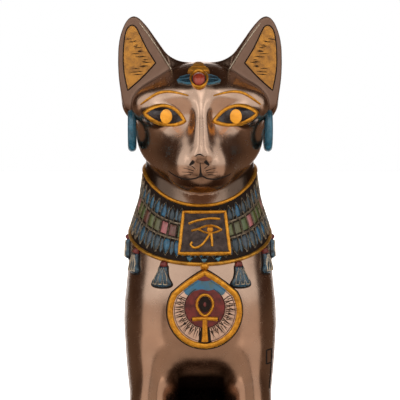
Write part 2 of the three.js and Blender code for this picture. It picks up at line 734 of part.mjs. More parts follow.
function tassel(angle) {
  const forward = Math.cos(angle);
  const reach = (collarTop(forward) - collarFoot(forward)) * share;
  const along = tasselWidth / 2 / ((Math.abs(forward) * 4 + 10.5) * share);
  const rings = tasselSections.map(([length, width]) => {
    const up = length * tasselLength / reach;
    return [[-1, -rootDepth], [-0.7, tasselHeight * 0.8], [0, tasselHeight], [0.7, tasselHeight * 0.8],
      [1, -rootDepth]].map(([side, lift]) => collarPoint(angle + side * along * width, up, lift, forward));
  });
  return loft(rings);
}

// Eye rims, brow lines and the winged scarab
const eyeInner = [2.7, 83.3];
const eyeOuter = [8.9, 84.5];

function eyeRim(sign) {
  const point = ([x, z]) => new THREE.Vector2(x, z);
  const upper = new THREE.CubicBezierCurve(...[eyeInner, [4, 86.6], [6.8, 86.9], eyeOuter].map(point));
  const lower = new THREE.CubicBezierCurve(...[eyeOuter, [7.4, 82.2], [4.4, 81.6], eyeInner].map(point));
  const path = [upper, lower].flatMap((lid) => lid.getPoints(8).slice(0, -1));
  return ribbon(path.map(({ x, y }) => [sign * x, y]), eyeRimWidth, eyeRimHeight, true);
}

function browLine(sign) {
  const path = [[2.2, 87.4], [3.6, 87.7], [5.2, 87.9], [6.8, 87.6], [8.3, 86.7], [9.4, 85.9]];
  return ribbon(path.map(([x, z]) => [sign * x, z]), browLineWidth, browLineHeight);
}

// Mouth, split lip and nostrils are cut in
const mouthPath = [[-5.2, 75.5], [-4.2, 74.9], [-2.6, 74.4], [-1.1, 74.5], [0, 74.9], [0.9, 74.5],
  [2.3, 74.4], [3.6, 74.7], [4.7, 75.1]];
const lipPath = [[0, 77.2], [0, 76], [0, 74.9]];
const nostril = { x: 1.05, z: 77.4 };

function muzzleCuts() {
  const nostrils = [-1, 1].map((sign) => {
    const hole = new THREE.SphereGeometry(nostrilWidth / 2, 8, 6).scale(1, 1.6, 0.75);
    const place = onFront(sign * nostril.x, nostril.z, 0);
    return hole.translate(place.x, place.y, place.z);
  });
  const mouth = groove(mouthPath, mouthWidth, mouthDepth);
  return [mouth, groove(lipPath, mouthWidth * 0.7, mouthDepth), ...nostrils];
}

const scarab = { x: -0.3, z: 89.7, wingReach: 3.6 };

function scarabParts() {
  const radius = discDiameter / 2 / share;
  const wing = (sign) => [[0.5, -0.5], [scarab.wingReach, -0.3], [2.8, 0.35], [1.7, 0.7], [0.5, 0.75]]
    .map(([x, z]) => [scarab.x + sign * x, scarab.z + z]);
  const crest = [[-1.6, 0.95], [1.6, 0.95], [1, 1.8], [0.6, 2.4], [-0.6, 2.4], [-1, 1.8]]
    .map(([x, z]) => [scarab.x + x, scarab.z + z]);
  const disc = [scarab.x, scarab.z];
  return [
    ...[-1, 1].map((sign) => plate(wing(sign), [scarab.x + sign * 1.8, scarab.z + 0.2], wingHeight)),
    plate(crest, [scarab.x, scarab.z + 1.8], crestHeight),
    plate(circle(disc, [radius, radius], 10), disc, discHeight),
  ];
}

// The tail: out of the rump, round the cat's right side and forward to the paws
const tailRoute = [[4.5, 16, 7.5], [1.5, 20.8, 6.2], [-2.6, 22.2, 4.4], [-7.6, 20.8, 2.9], [-11.4, 15.6, 2.1],
  [-13.2, 8, 1.8], [-13.7, -1, 1.7], [-13.1, -9.5, 1.6], [-11.7, -15.8, 1.5]];
const tailRootRadius = 2.2;
const tailTipRadius = 1.5;

function tail() {
  const route = new THREE.CatmullRomCurve3(tailRoute.map((p) => new THREE.Vector3(...p)));
  const steps = 44;
  const sides = 12;
  const rings = [];
  for (let i = 0; i <= steps; i += 1) {
    const t = i / steps;
    const centre = route.getPoint(t);
    const run = route.getTangent(t);
    const side = new THREE.Vector3(0, 0, 1).cross(run).normalize();
    const up = run.clone().cross(side);
    const radius = mix(tailRootRadius, tailTipRadius, t) * (i === steps ? 0.55 : 1);
    rings.push(Array.from({ length: sides }, (_, s) => {
      const angle = 2 * Math.PI * s / sides;
      const offset = side.clone().multiplyScalar(Math.cos(angle)).addScaledVector(up, Math.sin(angle));
      return toModel(centre.clone().addScaledVector(offset, radius).toArray());
    }));
  }
  return loft(rings);
}

// The same surface with about so many triangles, most of them where it curves
async function thinned(geometry, triangleCount) {
  const surplus = 1 - triangleCount / (geometry.index.count / 3);
  const vertices = geometry.attributes.position.count;
  return surplus > 0 ? new SimplifyModifier().modify(geometry, Math.round(vertices * surplus)) : geometry;
}

const joined = (geometries) => geometries.map(solidFrom).reduce((all, next) => all.add(next));

function geometryOf(solid) {
  const { vertProperties, triVerts } = solid.getMesh();
  const geometry = new THREE.BufferGeometry();
  geometry.setAttribute('position', new THREE.Float32BufferAttribute(vertProperties, 3));
  return geometry.setIndex(Array.from(triVerts));
}

// The bare cat is thinned before its ornaments go on, so that they keep their edges
async function figure() {
  const bareCat = joined([headSkin(), bodySkin(), tail(), ear(-1), ear(1)]);
  const cat = await thinned(geometryOf(bareCat), catTriangles);
  const ornaments = [collar(), ...plaqueParts(), ...pendantParts(), ...scarabParts()];
  for (const sign of [-1, 1]) {
    ornaments.push(earring(sign), eyeRim(sign), browLine(sign));
    for (let i = 0; i < tasselPairs; i += 1) {
      ornaments.push(tassel(sign * (firstTassel + i * tasselSpacing)));
    }
  }
  let solid = joined([cat, base(), ...ornaments]);
  for (const cut of [earPanel(-1), earPanel(1), ...muzzleCuts()]) solid = solid.subtract(solidFrom(cut));
  const geometry = geometryOf(solid);
  geometry.computeVertexNormals();
  return geometry;
}

const bronze = new THREE.MeshStandardMaterial({ color: '#7a5c4a', roughness: 0.3, metalness: 0.85 });
const casting = new THREE.Mesh(await figure(), bronze);
casting.name = 'bastet_cat';

const group = new THREE.Group();
group.add(casting);

export default group;
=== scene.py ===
"""Bastet cat figure: a bronze-coloured cast cat with painted gold and enamel ornaments.

The free form is written in shares, hundredths of the cat's height above its base, as in the CAD source.
Everything that is handed to Blender is in metres, in the CAD frame: +Z up, the cat faces -Y.
"""

import logging
import math
from dataclasses import dataclass
from enum import Enum
from typing import Callable, Optional, Sequence

import bmesh
import bpy
import numpy as np
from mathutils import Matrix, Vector


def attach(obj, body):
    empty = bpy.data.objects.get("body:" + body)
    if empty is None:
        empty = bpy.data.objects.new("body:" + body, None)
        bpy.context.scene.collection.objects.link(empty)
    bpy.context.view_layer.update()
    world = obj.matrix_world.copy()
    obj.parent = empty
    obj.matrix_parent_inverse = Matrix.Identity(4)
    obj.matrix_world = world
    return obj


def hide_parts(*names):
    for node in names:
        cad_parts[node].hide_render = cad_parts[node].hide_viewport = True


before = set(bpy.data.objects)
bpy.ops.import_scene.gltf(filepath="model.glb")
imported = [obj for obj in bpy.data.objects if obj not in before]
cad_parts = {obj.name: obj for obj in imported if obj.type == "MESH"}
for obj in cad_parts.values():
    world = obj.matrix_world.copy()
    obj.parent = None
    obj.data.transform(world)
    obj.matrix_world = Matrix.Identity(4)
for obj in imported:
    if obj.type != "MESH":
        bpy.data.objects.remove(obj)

log = logging.getLogger("bastet_cat")

Array = np.ndarray
Field = Callable[[Array, Array, Array], Array]
Spot = tuple[float, float]
Place = tuple[float, float, float]
Path = Sequence[Spot]
Piece = bpy.types.Object
Tree = bpy.types.NodeTree
Socket = bpy.types.NodeSocket

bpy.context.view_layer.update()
CAT_HEIGHT_MM = 444.0
BASE_HEIGHT_MM = 16.0
SET_BACK_MM = 1.8
SHARE = CAT_HEIGHT_MM / 100
MM = 0.001
NECK_JOIN = 76


# Free form


class Stations:
    """A smooth curve through given stations of height and value."""

    def __init__(self, *pairs: Spot) -> None:
        """Keeps the stations as two arrays."""
        self.at = np.array([p[0] for p in pairs], float)
        self.value = np.array([p[1] for p in pairs], float)

    def __call__(self, height: Array) -> Array:
        """Reads the curve at heights in shares."""
        last = len(self.at) - 1
        i = np.clip(np.searchsorted(self.at, height, side="left") - 1, 0, last - 1)
        before, after = np.maximum(i - 1, 0), np.minimum(i + 2, last)
        h0, h1 = self.at[i], self.at[i + 1]
        v0, v1 = self.value[i], self.value[i + 1]
        t = np.clip((height - h0) / (h1 - h0), 0, 1)
        slope0 = (v1 - self.value[before]) / (h1 - self.at[before]) * (h1 - h0)
        slope1 = (self.value[after] - v0) / (self.at[after] - h0) * (h1 - h0)
        t2, t3 = t * t, t * t * t
        ends = (2 * t3 - 3 * t2 + 1) * v0 + (3 * t2 - 2 * t3) * v1
        return ends + (t3 - 2 * t2 + t) * slope0 + (t3 - t2) * slope1


def blend(a: Array, b: Array, width: float) -> Array:
    """Joins two distance fields with a rounded seam of the given width."""
    overlap = np.maximum(width - np.abs(a - b), 0) / width
    return np.minimum(a, b) - overlap * overlap * width / 4


def carve(a: Array, b: Array, width: float) -> Array:
    """Rounds the nearer corner of two fields where both are inside."""
    return -blend(-a, -b, width)


def column(x: Array, y: Array, centre: tuple[Array, Array], radii: tuple[Array, Array]) -> Array:
    """Returns signed distances to an upright column, from its elliptical section at each place's height."""
    dx, dy = x - centre[0], y - centre[1]
    near = np.sqrt((dx / radii[0]) ** 2 + (dy / radii[1]) ** 2)
    steep = np.sqrt((dx / radii[0]**2) ** 2 + (dy / radii[1]**2) ** 2)
    return near * (near - 1) / np.maximum(steep, 1e-6)


def squared_column(x: Array, y: Array, centre_y: Array, radii: tuple[Array, Array], power: Array) -> Array:
    """Returns signed distances to an upright column, its sections squared more with a power above 2."""
    across, along = np.abs(x) / radii[0], np.abs(y - centre_y) / radii[1]
    near = np.maximum((across**power + along**power) ** (1 / power), 1e-3)
    steep_x = (across / near) ** (power - 1) / radii[0]
    steep_y = (along / near) ** (power - 1) / radii[1]
    return (near - 1) / np.maximum(np.hypot(steep_x, steep_y), 1e-6)


class Form:
    """A part of the free form, which can be blended onto a shape."""

    seam: float

    def field(self, x: Array, y: Array, z: Array) -> Array:
        """Measures the distance to the form, exact enough near its surface.

        Args:
            x, y, z: Places in shares. What comes in pairs takes x without its sign.

        Returns:
            Signed distances, negative inside.
        """
        raise NotImplementedError

    def onto(self, shape: Array, x: Array, y: Array, z: Array) -> Array:
        """Returns the shape with this form joined to it by its rounded seam."""
        return blend(shape, self.field(x, y, z), self.seam)


@dataclass(frozen=True)
class Lump(Form):
    """An ellipsoid by its centre and radii in shares."""

    centre: Place
    radii: Place
    seam: float = 0.0

    def field(self, x: Array, y: Array, z: Array) -> Array:
        """Measures the distance to the ellipsoid."""
        dx, dy, dz = x - self.centre[0], y - self.centre[1], z - self.centre[2]
        rx, ry, rz = self.radii
        near = np.sqrt((dx / rx) ** 2 + (dy / ry) ** 2 + (dz / rz) ** 2)
        steep = np.sqrt((dx / rx**2) ** 2 + (dy / ry**2) ** 2 + (dz / rz**2) ** 2)
        return near * (near - 1) / np.maximum(steep, 1e-6)


@dataclass(frozen=True)
class Rod(Form):
    """A tapered rod with round ends, in shares."""

    start: Place
    end: Place
    start_radius: float
    end_radius: float
    seam: float

    def field(self, x: Array, y: Array, z: Array) -> Array:
        """Measures the distance to the rod."""
        a, b = self.start, self.end
        dx, dy, dz = b[0] - a[0], b[1] - a[1], b[2] - a[2]
        along = ((x - a[0]) * dx + (y - a[1]) * dy + (z - a[2]) * dz) / (dx * dx + dy * dy + dz * dz)
        t = np.clip(along, 0, 1)
        gap = np.sqrt((x - a[0] - dx * t) ** 2 + (y - a[1] - dy * t) ** 2 + (z - a[2] - dz * t) ** 2)
        return gap - (self.start_radius + (self.end_radius - self.start_radius) * t)


@dataclass(frozen=True)
class Block(Form):
    """A block with rounded edges, in shares."""

    centre: Place
    half: Place
    rounding: float
    seam: float

    def field(self, x: Array, y: Array, z: Array) -> Array:
        """Measures the distance to the block."""
        qx, qy, qz = (np.abs(place - middle) - half + self.rounding
                      for place, middle, half in zip((x, y, z), self.centre, self.half))
        outside = np.sqrt(np.maximum(qx, 0) ** 2 + np.maximum(qy, 0) ** 2 + np.maximum(qz, 0) ** 2)
        return outside + np.minimum(np.maximum(np.maximum(qx, qy), qz), 0) - self.rounding


@dataclass(frozen=True)
class Toes(Form):
    """Toes in a row across the front of a paw, the outer ones set back."""

    centre: Place
    radius: float
    count: int
    seam: float
    stride: float = 1.4
    set_back: float = 0.3
    stretch: Place = (1, 1.7, 1.15)
    cleft: float = 0.25

    def field(self, x: Array, y: Array, z: Array) -> Array:
        """Measures the distance to the toes."""
        row: Optional[Array] = None
        for i in range(self.count):
            across = i - (self.count - 1) / 2
            middle = (self.centre[0] + across * self.radius * self.stride,
                      self.centre[1] + across * across * self.radius * self.set_back, self.centre[2])
            radii = tuple(self.radius * share for share in self.stretch)
            toe = Lump(middle, radii).field(x, y, z)
            row = toe if row is None else blend(row, toe, self.radius * self.cleft)
        return row


@dataclass(frozen=True)
class Cheeks(Form):
    """The lower face: a wedge in plan, closed towards the chin and leaning forward over the throat."""

    half_width: float = 10.2
    half_height: float = 7.2
    front: float = 12.0
    back: float = 6.5
    middle: Spot = (-7.0, 80.4)
    power: float = 1.4
    lean: float = 0.14
    lean_reach: float = 9
    seam: float = 2.0

    def field(self, x: Array, y: Array, z: Array) -> Array:
        """Measures the distance to the lower face."""
        power = self.power
        centre_y = self.middle[0] - self.lean * np.clip(self.middle[1] - z, 0, self.lean_reach) ** 2
        depth = np.where(y < centre_y, self.front, self.back)
        across, along = np.abs(x) / self.half_width, np.abs(y - centre_y) / depth
        plan = np.maximum((across**power + along**power) ** (1 / power), 1e-3)
        rise = (z - self.middle[1]) / self.half_height
        near = np.maximum(np.sqrt(plan**2 + rise**2), 1e-3)
        steep_x = (across / plan) ** (power - 1) * plan / near / self.half_width
        steep_y = (along / plan) ** (power - 1) * plan / near / depth
        steep = np.sqrt(steep_x**2 + steep_y**2 + (rise / near / self.half_height) ** 2)
        return (near - 1) / np.maximum(steep, 1e-6)


@dataclass(frozen=True)
class CatBody:
    """Trunk, forelegs, haunches and paws, in shares; a pair's first form carries the pair's seam."""

    half_width: Stations = Stations(
        (0, 11.2), (10, 12.2), (22, 12.5), (34, 11.6), (40, 11.4), (46, 11.9), (51, 12.3), (56, 12.0),
        (60, 11.6), (65, 11.2), (69, 10.0), (72, 9.3), (76, 8.8), (80, 8.4), (85, 7.4))
    front: Stations = Stations(
        (0, -4), (14, -5.5), (28, -9), (37, -13), (41, -16.6), (45, -19.6), (48, -20.7), (52, -21),
        (57, -20.6), (62, -19.4), (67, -17.4), (71, -15.6), (75, -14), (80, -12), (85, -11))
    back: Stations = Stations(
        (0, 22.6), (8, 23.4), (16, 22.6), (26, 19.6), (36, 15.8), (46, 11.8), (56, 7.8), (64, 4.8),
        (70, 3.2), (75, 2.3), (80, 1.6), (85, -0.4))
    squareness: Stations = Stations(
        (0, 2), (20, 2.2), (36, 2.7), (46, 3), (54, 2.9), (60, 2.4), (66, 2.05), (70, 2), (85, 2))
    leg_x: Stations = Stations((0, 6.5), (8, 6.8), (20, 7.5), (32, 7.9), (40, 7.7), (46, 7.1), (52, 6.6))
    leg_y: Stations = Stations(
        (0, -18.4), (4, -17.8), (12, -16.9), (24, -15.6), (36, -13.6), (44, -12.2), (48, -10.9), (52, -9))
    leg_width: Stations = Stations((0, 3.5), (6, 3.1), (16, 3.2), (30, 3.5), (46, 3.5), (52, 3))
    leg_depth: Stations = Stations(
        (0, 4.2), (6, 3.8), (16, 4.2), (26, 4.9), (36, 6.2), (44, 7.1), (48, 6.3), (52, 4))
    shoulder_top: float = 52.0
    leg_seam: float = 3.4
    belly: Block = Block((0, -5, 14), (9.6, 8.6, 24), 3.5, 3)
    thigh: Lump = Lump((7.4, 7.6, 14.6), (6.2, 12, 13.6), 1.6)
    knee: Lump = Lump((9.6, 0.5, 8.5), (3.7, 6.6, 8.2), 2.5)
    forepaw: Lump = Lump((6.5, -20.4, 1.4), (3.9, 4.2, 2.9), 1)
    fore_toes: Toes = Toes((6.5, -22.8, 1.2), 1.5, 4, 0.6)
    hindpaw: Rod = Rod((9.4, 4, 2.1), (9.4, -9.4, 1.6), 2.9, 2.5, 0.8)
    hind_toes: Toes = Toes((9.5, -10.6, 0.9), 1.45, 3, 0.8)

    def trunk(self, x: Array, y: Array, z: Array) -> Array:
        """Returns signed distances to neck, chest and back in one."""
        front, back = self.front(z), self.back(z)
        radii = self.half_width(z), (back - front) / 2
        return squared_column(x, y, (front + back) / 2, radii, self.squareness(z))

    def foreleg(self, side: Array, y: Array, z: Array) -> Array:
        """Returns signed distances to one straight foreleg up to the shoulder."""
        leg = column(side, y, (self.leg_x(z), self.leg_y(z)), (self.leg_width(z), self.leg_depth(z)))
        return np.maximum(leg, z - self.shoulder_top)

    def field(self, x: Array, y: Array, z: Array) -> Array:
        """Measures the distance to the whole body below the neck."""
        here = np.abs(x), y, z
        shape = self.belly.onto(self.trunk(*here), *here)
        shape = blend(shape, self.foreleg(*here), self.leg_seam)
        limbs = ((self.thigh, self.knee), (self.forepaw, self.fore_toes), (self.hindpaw, self.hind_toes))
        for first, second in limbs:
            shape = blend(shape, second.onto(first.field(*here), *here), first.seam)
        return shape


@dataclass(frozen=True)
class CatEar:
    """An upright ear: a flat face in front, a rounded back, and a side that turns back from a crisp edge.

    Attributes:
        face_place, face_turn, face_lean: A point of the face, and its rise to the back outwards and upwards.
    """

    inner: Stations = Stations(
        (84, 1.6), (88.4, 3.3), (92, 5.2), (95, 7.0), (98, 8.8), (99.3, 9.75), (100, 10.5))
    outer: Stations = Stations(
        (82, 11.3), (86, 12.45), (90, 13.1), (94, 13.2), (96.5, 12.9), (98.6, 12.15), (99.5, 11.5),
        (100, 10.9))
    side: Stations = Stations((84, 3.2), (88.4, 1.9), (92, 1.3), (96, 0.8), (99, 0.4), (100, 0.1))
    depth: Stations = Stations((82, 7.2), (88, 5.9), (93, 4.1), (97, 2.4), (99.4, 1.1), (100, 0.5))
    top: float = 99.9
    foot: float = 84.4
    face_place: Place = (4.0, -10.3, 90.0)
    face_turn: float = 0.2
    face_lean: float = 0.16
    edge_slope: float = 1.5
    edge_rounding: Spot = (0.3, 0.25)
    foot_rounding: float = 1.6
    tip_rounding: float = 0.5
    back_share: float = 0.12

    def face_y(self, x: Array, z: Array) -> Array:
        """Returns the depth of the flat face at a place seen from the front."""
        x0, y0, z0 = self.face_place
        return y0 + (x - x0) * self.face_turn + (z - z0) * self.face_lean

    def field(self, side: Array, y: Array, z: Array) -> Array:
        """Measures the distance to one ear."""
        inner, outer, turn, depth = self.inner(z), self.outer(z), self.side(z), self.depth(z)
        face = self.face_y(side, z)
        centre, half = (inner - turn + outer) / 2, (outer - inner + turn) / 2
        shape = column(side, y, (centre, face + self.back_share * depth), (half, depth))
        shape = carve(shape, face - y, self.edge_rounding[0])
        turned = (self.edge_slope * (inner - side) - (y - face)) / math.hypot(1, self.edge_slope)
        shape = carve(shape, turned, self.edge_rounding[1])
        shape = carve(shape, self.foot - z, self.foot_rounding)
        return carve(shape, z - self.top, self.tip_rounding)


@dataclass(frozen=True)
class CatHead:
    """Skull, muzzle, brows, eyes and ears, in shares.

    Attributes:
        muzzle: Its seam is that of the whole muzzle to the skull.
        ear_seam: Width of the ear's seam in front, and what it gains behind.
        ear_seam_run: How far behind the ear's face the gain starts, and over what length it grows.
    """

    body: CatBody = CatBody()
    ear: CatEar = CatEar()
    braincase: Lump = Lump((0, -7.6, 84.6), (9.8, 9.4, 8.0))
    temple: Lump = Lump((7, -8.6, 85.3), (3.9, 5.4, 3.7), 1.6)
    cheeks: Cheeks = Cheeks()
    muzzle: Lump = Lump((0, -15.2, 77.2), (4.0, 5.9, 3.6), 4.5)
    lip_pad: Lump = Lump((1.6, -18.6, 76.4), (2.4, 2.8, 2.2), 2.5)
    chin: Lump = Lump((0, -17.4, 74.4), (2.8, 2.6, 1.6), 1.4)
    brow: Rod = Rod((2.0, -15.4, 87.2), (8.9, -11.4, 85.9), 0.8, 0.6, 3.5)
    socket: Lump = Lump((6.25, -19.6, 84.3), (3.95, 3.4, 2.2), 2.4)
    bridge: Rod = Rod((0, -15.4, 89.1), (0, -21.1, 79.15), 0.75, 0.75, 2.0)
    nose_tip: Lump = Lump((0, -21.4, 78.0), (1.4, 1.0, 0.9), 0.9)
    eyeball: Lump = Lump((5.75, -13.4, 84.2), (3.5, 3.2, 1.9), 0.8)
    neck_top: float = 84.0
    neck_seam: float = 0.8
    ear_seam: Spot = (0.5, 3.0)
    ear_seam_run: Spot = (0.2, 1.6)

    def face(self, *here: Array) -> Array:
        """Builds skull and muzzle with brows, sockets and eyeballs, from x without its sign, y and z."""
        skull = self.cheeks.onto(self.temple.onto(self.braincase.field(*here), *here), *here)
        muzzle = self.chin.onto(self.lip_pad.onto(self.muzzle.field(*here), *here), *here)
        shape = self.brow.onto(blend(skull, muzzle, self.muzzle.seam), *here)
        shape = carve(shape, -self.socket.field(*here), self.socket.seam)
        for part in (self.bridge, self.nose_tip, self.eyeball):
            shape = part.onto(shape, *here)
        return shape

    def field(self, x: Array, y: Array, z: Array) -> Array:
        """Measures the distance to the head with its ears and the neck that carries it."""
        side = np.abs(x)
        neck = np.maximum(self.body.trunk(x, y, z), z - self.neck_top)
        shape = blend(self.face(side, y, z), neck, self.neck_seam)
        start, run = self.ear_seam_run
        behind = np.clip((y - self.ear.face_y(side, z) - start) / run, 0, 1)
        seam = self.ear_seam[0] + self.ear_seam[1] * behind * behind * (3 - 2 * behind)
        return blend(shape, self.ear.field(side, y, z), seam)


BODY = CatBody()
HEAD = CatHead(BODY)
EAR = HEAD.ear


def whole(x: Array, y: Array, z: Array) -> Array:
    """Returns signed distances to the bare cat, on which the ornaments lie."""
    return np.minimum(np.maximum(BODY.field(x, y, z), z - NECK_JOIN), HEAD.field(x, y, z))


def to_model(points: Array) -> Array:
    """Turns points in shares into metres in the CAD frame."""
    offset = np.array([0.0, SET_BACK_MM, BASE_HEIGHT_MM])
    return (np.asarray(points, float) * SHARE + offset) * MM


def slope_of(shape: Field, points: Array, step: float = 0.02) -> Array:
    """Measures the gradient of a field at points in shares, sampled a step to each side."""
    x, y, z = points[:, 0], points[:, 1], points[:, 2]
    return np.stack([
        shape(x + step, y, z) - shape(x - step, y, z),
        shape(x, y + step, z) - shape(x, y - step, z),
        shape(x, y, z + step) - shape(x, y, z - step)], axis=1) / (2 * step)


def outward(shape: Field, points: Array) -> Array:
    """Returns unit vectors out of a field's surface."""
    out = slope_of(shape, points)
    return out / np.maximum(np.linalg.norm(out, axis=1), 1e-9)[:, None]


def grid_lines(runs: Sequence[Place]) -> Array:
    """Lays grid lines along one axis by start, end and cell of each run, with an empty cell at each end."""
    lines = [runs[0][0] - runs[0][2], runs[0][0]]
    for start, end, cell in runs:
        count = max(round((end - start) / cell), 1)
        lines.extend(start + (end - start) * (i + 1) / count for i in range(count))
    lines.append(runs[-1][1] + runs[-1][2])
    return np.array(lines)


class SurfaceNet:
    """One vertex in each grid cell that a field's surface crosses, one quad around each crossed edge."""

    def __init__(self, shape: Field, axes: Sequence[Array]) -> None:
        """Samples the field on grid lines along x, y and z."""
        self.shape, self.axes = shape, [np.asarray(a) for a in axes]
        x, y, z = np.meshgrid(*self.axes, indexing="ij", sparse=True)
        self.values = shape(x, y, z) + np.zeros([len(a) for a in self.axes])

    def crossings(self, axis: int) -> tuple[Array, list[Array]]:
        """Returns whether the surface crosses each grid edge along one axis, and the place on the edge."""
        low, high = [slice(None)] * 3, [slice(None)] * 3
        low[axis], high[axis] = slice(0, -1), slice(1, None)
        a, b = self.values[tuple(low)], self.values[tuple(high)]
        crossed = (a < 0) != (b < 0)
        t = np.where(crossed, a / np.where(crossed, a - b, 1), 0)
        lines = [line[:-1] if k == axis else line for k, line in enumerate(self.axes)]
        place = list(np.meshgrid(*lines, indexing="ij"))
        step = np.diff(self.axes[axis]).reshape([-1 if k == axis else 1 for k in range(3)])
        place[axis] = place[axis] + t * step
        return crossed, place

    def cells(self) -> tuple[Array, Array]:
        """Returns the mean crossing point of every cell, and how many of its edges are crossed."""
        size = [n - 1 for n in self.values.shape]
        total, count = np.zeros(size + [3]), np.zeros(size)
        halves = (slice(0, -1), slice(1, None))
        for axis in range(3):
            crossed, place = self.crossings(axis)
            others = [k for k in range(3) if k != axis]
            for first, second in ((a, b) for a in halves for b in halves):
                part = [slice(None)] * 3
                part[others[0]], part[others[1]] = first, second
                hit = crossed[tuple(part)]
                count += hit
                for k in range(3):
                    total[..., k] += np.where(hit, place[k][tuple(part)], 0)
        return total / np.maximum(count, 1)[..., None], count

    def settle(self, points: Array, rounds: int = 4) -> Array:
        """Moves points down the field's slope, a few rounds long, until they lie on the surface."""
        for _ in range(rounds):
            slope = slope_of(self.shape, points)
            steep = (slope**2).sum(1)
            value = self.shape(points[:, 0], points[:, 1], points[:, 2])
            move = np.where(steep > 0.05, np.clip(-value, -1, 1) / np.maximum(steep, 0.05), 0)
            points = points + slope * move[:, None]
        return points

    def mesh(self) -> tuple[Array, Array]:
        """Returns settled points in shares, and quads that face outwards."""
        centres, count = self.cells()
        used = count > 0
        number = np.full(used.shape, -1)
        number[used] = np.arange(used.sum())
        points = self.settle(centres[used])
        around = (((0, -1, -1), (0, 0, -1), (0, 0, 0), (0, -1, 0)),
                  ((-1, 0, -1), (-1, 0, 0), (0, 0, 0), (0, 0, -1)),
                  ((-1, -1, 0), (0, -1, 0), (0, 0, 0), (-1, 0, 0)))
        quads = []
        for axis, offsets in enumerate(around):
            core = [slice(1, -1)] * 3
            after = list(core)
            after[axis] = slice(2, None)
            here, there = self.values[tuple(core)] < 0, self.values[tuple(after)] < 0
            where = np.argwhere(here != there) + 1
            flip = there[here != there]
            corners = np.stack([number[tuple((where + np.array(o)).T)] for o in offsets], axis=1)
            corners[flip] = corners[flip][:, ::-1]
            quads.append(corners)
        return points, np.concatenate(quads)


# Finishes


def linear(code: str) -> tuple[float, float, float, float]:
    """Turns an sRGB hex value into linear light with full alpha."""
    parts = [int(code[i:i + 2], 16) / 255 for i in (1, 3, 5)]
    return (*[c / 12.92 if c <= 0.04045 else ((c + 0.055) / 1.055) ** 2.4 for c in parts], 1.0)


def add_node(tree: Tree, kind: str, links: Optional[dict] = None,
             **settings: object) -> bpy.types.Node:
    """Adds a node with its settings and links.

    Args:
        tree: The node tree.
        kind: The node's type name.
        links: Input name or index to a value or to an output socket.
        **settings: Attributes of the node.

    Returns:
        The new node.
    """
    node = tree.nodes.new(kind)
    for key, value in settings.items():
        setattr(node, key, value)
    for key, value in (links or {}).items():
        if isinstance(value, Socket):
            tree.links.new(value, node.inputs[key])
        else:
            node.inputs[key].default_value = value
    return node


@dataclass(frozen=True)
class Finish:
    """A finish with two tones that a noise mixes, and a slight unevenness of gloss and surface.

    Attributes:
        name: What the real material is called.
        tone, shade: Main and second colour, sRGB hex.
        metallic: How much of it reflects as metal.
        roughness, spread: Mean roughness and how far it wanders.
        grain_mm, relief_mm: Size of the mottling and height of the surface's unevenness.
        coat: Weight of a clear lacquer over it.
        amount: How much of the second colour shows.
        specular: How strongly a paint's surface mirrors, 0.5 for a usual one.
    """

    name: str
    tone: str
    shade: str
    metallic: float = 0.0
    roughness: float = 0.4
    grain_mm: float = 6.0
    relief_mm: float = 0.02
    coat: float = 0.0
    spread: float = 0.08
    amount: float = 0.6
    specular: float = 0.5

    def build(self) -> bpy.types.Material:
        """Makes the material once."""
        made = bpy.data.materials.get(self.name)
        if made:
            return made
        made = bpy.data.materials.new(self.name)
        made.use_nodes = True
        tree = made.node_tree
        tree.nodes.clear()
        place = add_node(tree, "ShaderNodeTexCoord").outputs["Object"]
        broad = add_node(tree, "ShaderNodeTexNoise", {
            "Vector": place, "Scale": 1 / (self.grain_mm * MM), "Detail": 4.0, "Roughness": 0.55})
        fine = add_node(tree, "ShaderNodeTexNoise", {
            "Vector": place, "Scale": 6 / (self.grain_mm * MM), "Detail": 3.0})
        share = add_node(tree, "ShaderNodeMapRange", {
            "Value": broad.outputs["Fac"], "From Min": 0.35, "From Max": 0.7, "To Max": self.amount})
        colour = add_node(tree, "ShaderNodeMix", {
            "Factor": share.outputs["Result"], 6: linear(self.tone), 7: linear(self.shade)}, data_type="RGBA")
        gloss = add_node(tree, "ShaderNodeMapRange", {
            "Value": fine.outputs["Fac"], "From Min": 0.3, "From Max": 0.7,
            "To Min": max(self.roughness - self.spread, 0.02), "To Max": self.roughness + self.spread})
        bump = add_node(tree, "ShaderNodeBump", {
            "Height": fine.outputs["Fac"], "Strength": 0.5, "Distance": self.relief_mm * MM})
        shader = add_node(tree, "ShaderNodeBsdfPrincipled", {
            "Base Color": colour.outputs[2], "Roughness": gloss.outputs["Result"],
            "Normal": bump.outputs["Normal"], "Metallic": self.metallic, "Coat Weight": self.coat,
            "Coat Roughness": 0.12, "Specular IOR Level": self.specular})
        add_node(tree, "ShaderNodeOutputMaterial", {"Surface": shader.outputs["BSDF"]})
        self.extend(tree, colour, shader)
        return made

    def extend(self, tree: Tree, colour: bpy.types.Node, shader: bpy.types.Node) -> None:
        """Adds what only some finishes have, between the mixed colour and the shader."""


@dataclass(frozen=True)
class ToneFinish(Finish):
    """A finish whose main colour is picked for each copy by its stored tone.

    Attributes:
        palette: The colours, sRGB hex, from tone 0 to tone 1.
    """

    palette: tuple[str, ...] = ()

    def extend(self, tree: Tree, colour: bpy.types.Node, shader: bpy.types.Node) -> None:
        """Puts the palette on the tone attribute in place of the main colour."""
        tone = add_node(tree, "ShaderNodeAttribute", attribute_name="tone")
        ramp = add_node(tree, "ShaderNodeValToRGB", {"Fac": tone.outputs["Fac"]})
        ramp.color_ramp.interpolation = "CONSTANT"
        count = len(self.palette)
        for i, code in enumerate(self.palette):
            stop = ramp.color_ramp.elements[i] if i < 2 else ramp.color_ramp.elements.new(i / count)
            stop.position, stop.color = i / count, linear(code)
        tree.links.new(ramp.outputs["Color"], colour.inputs[6])


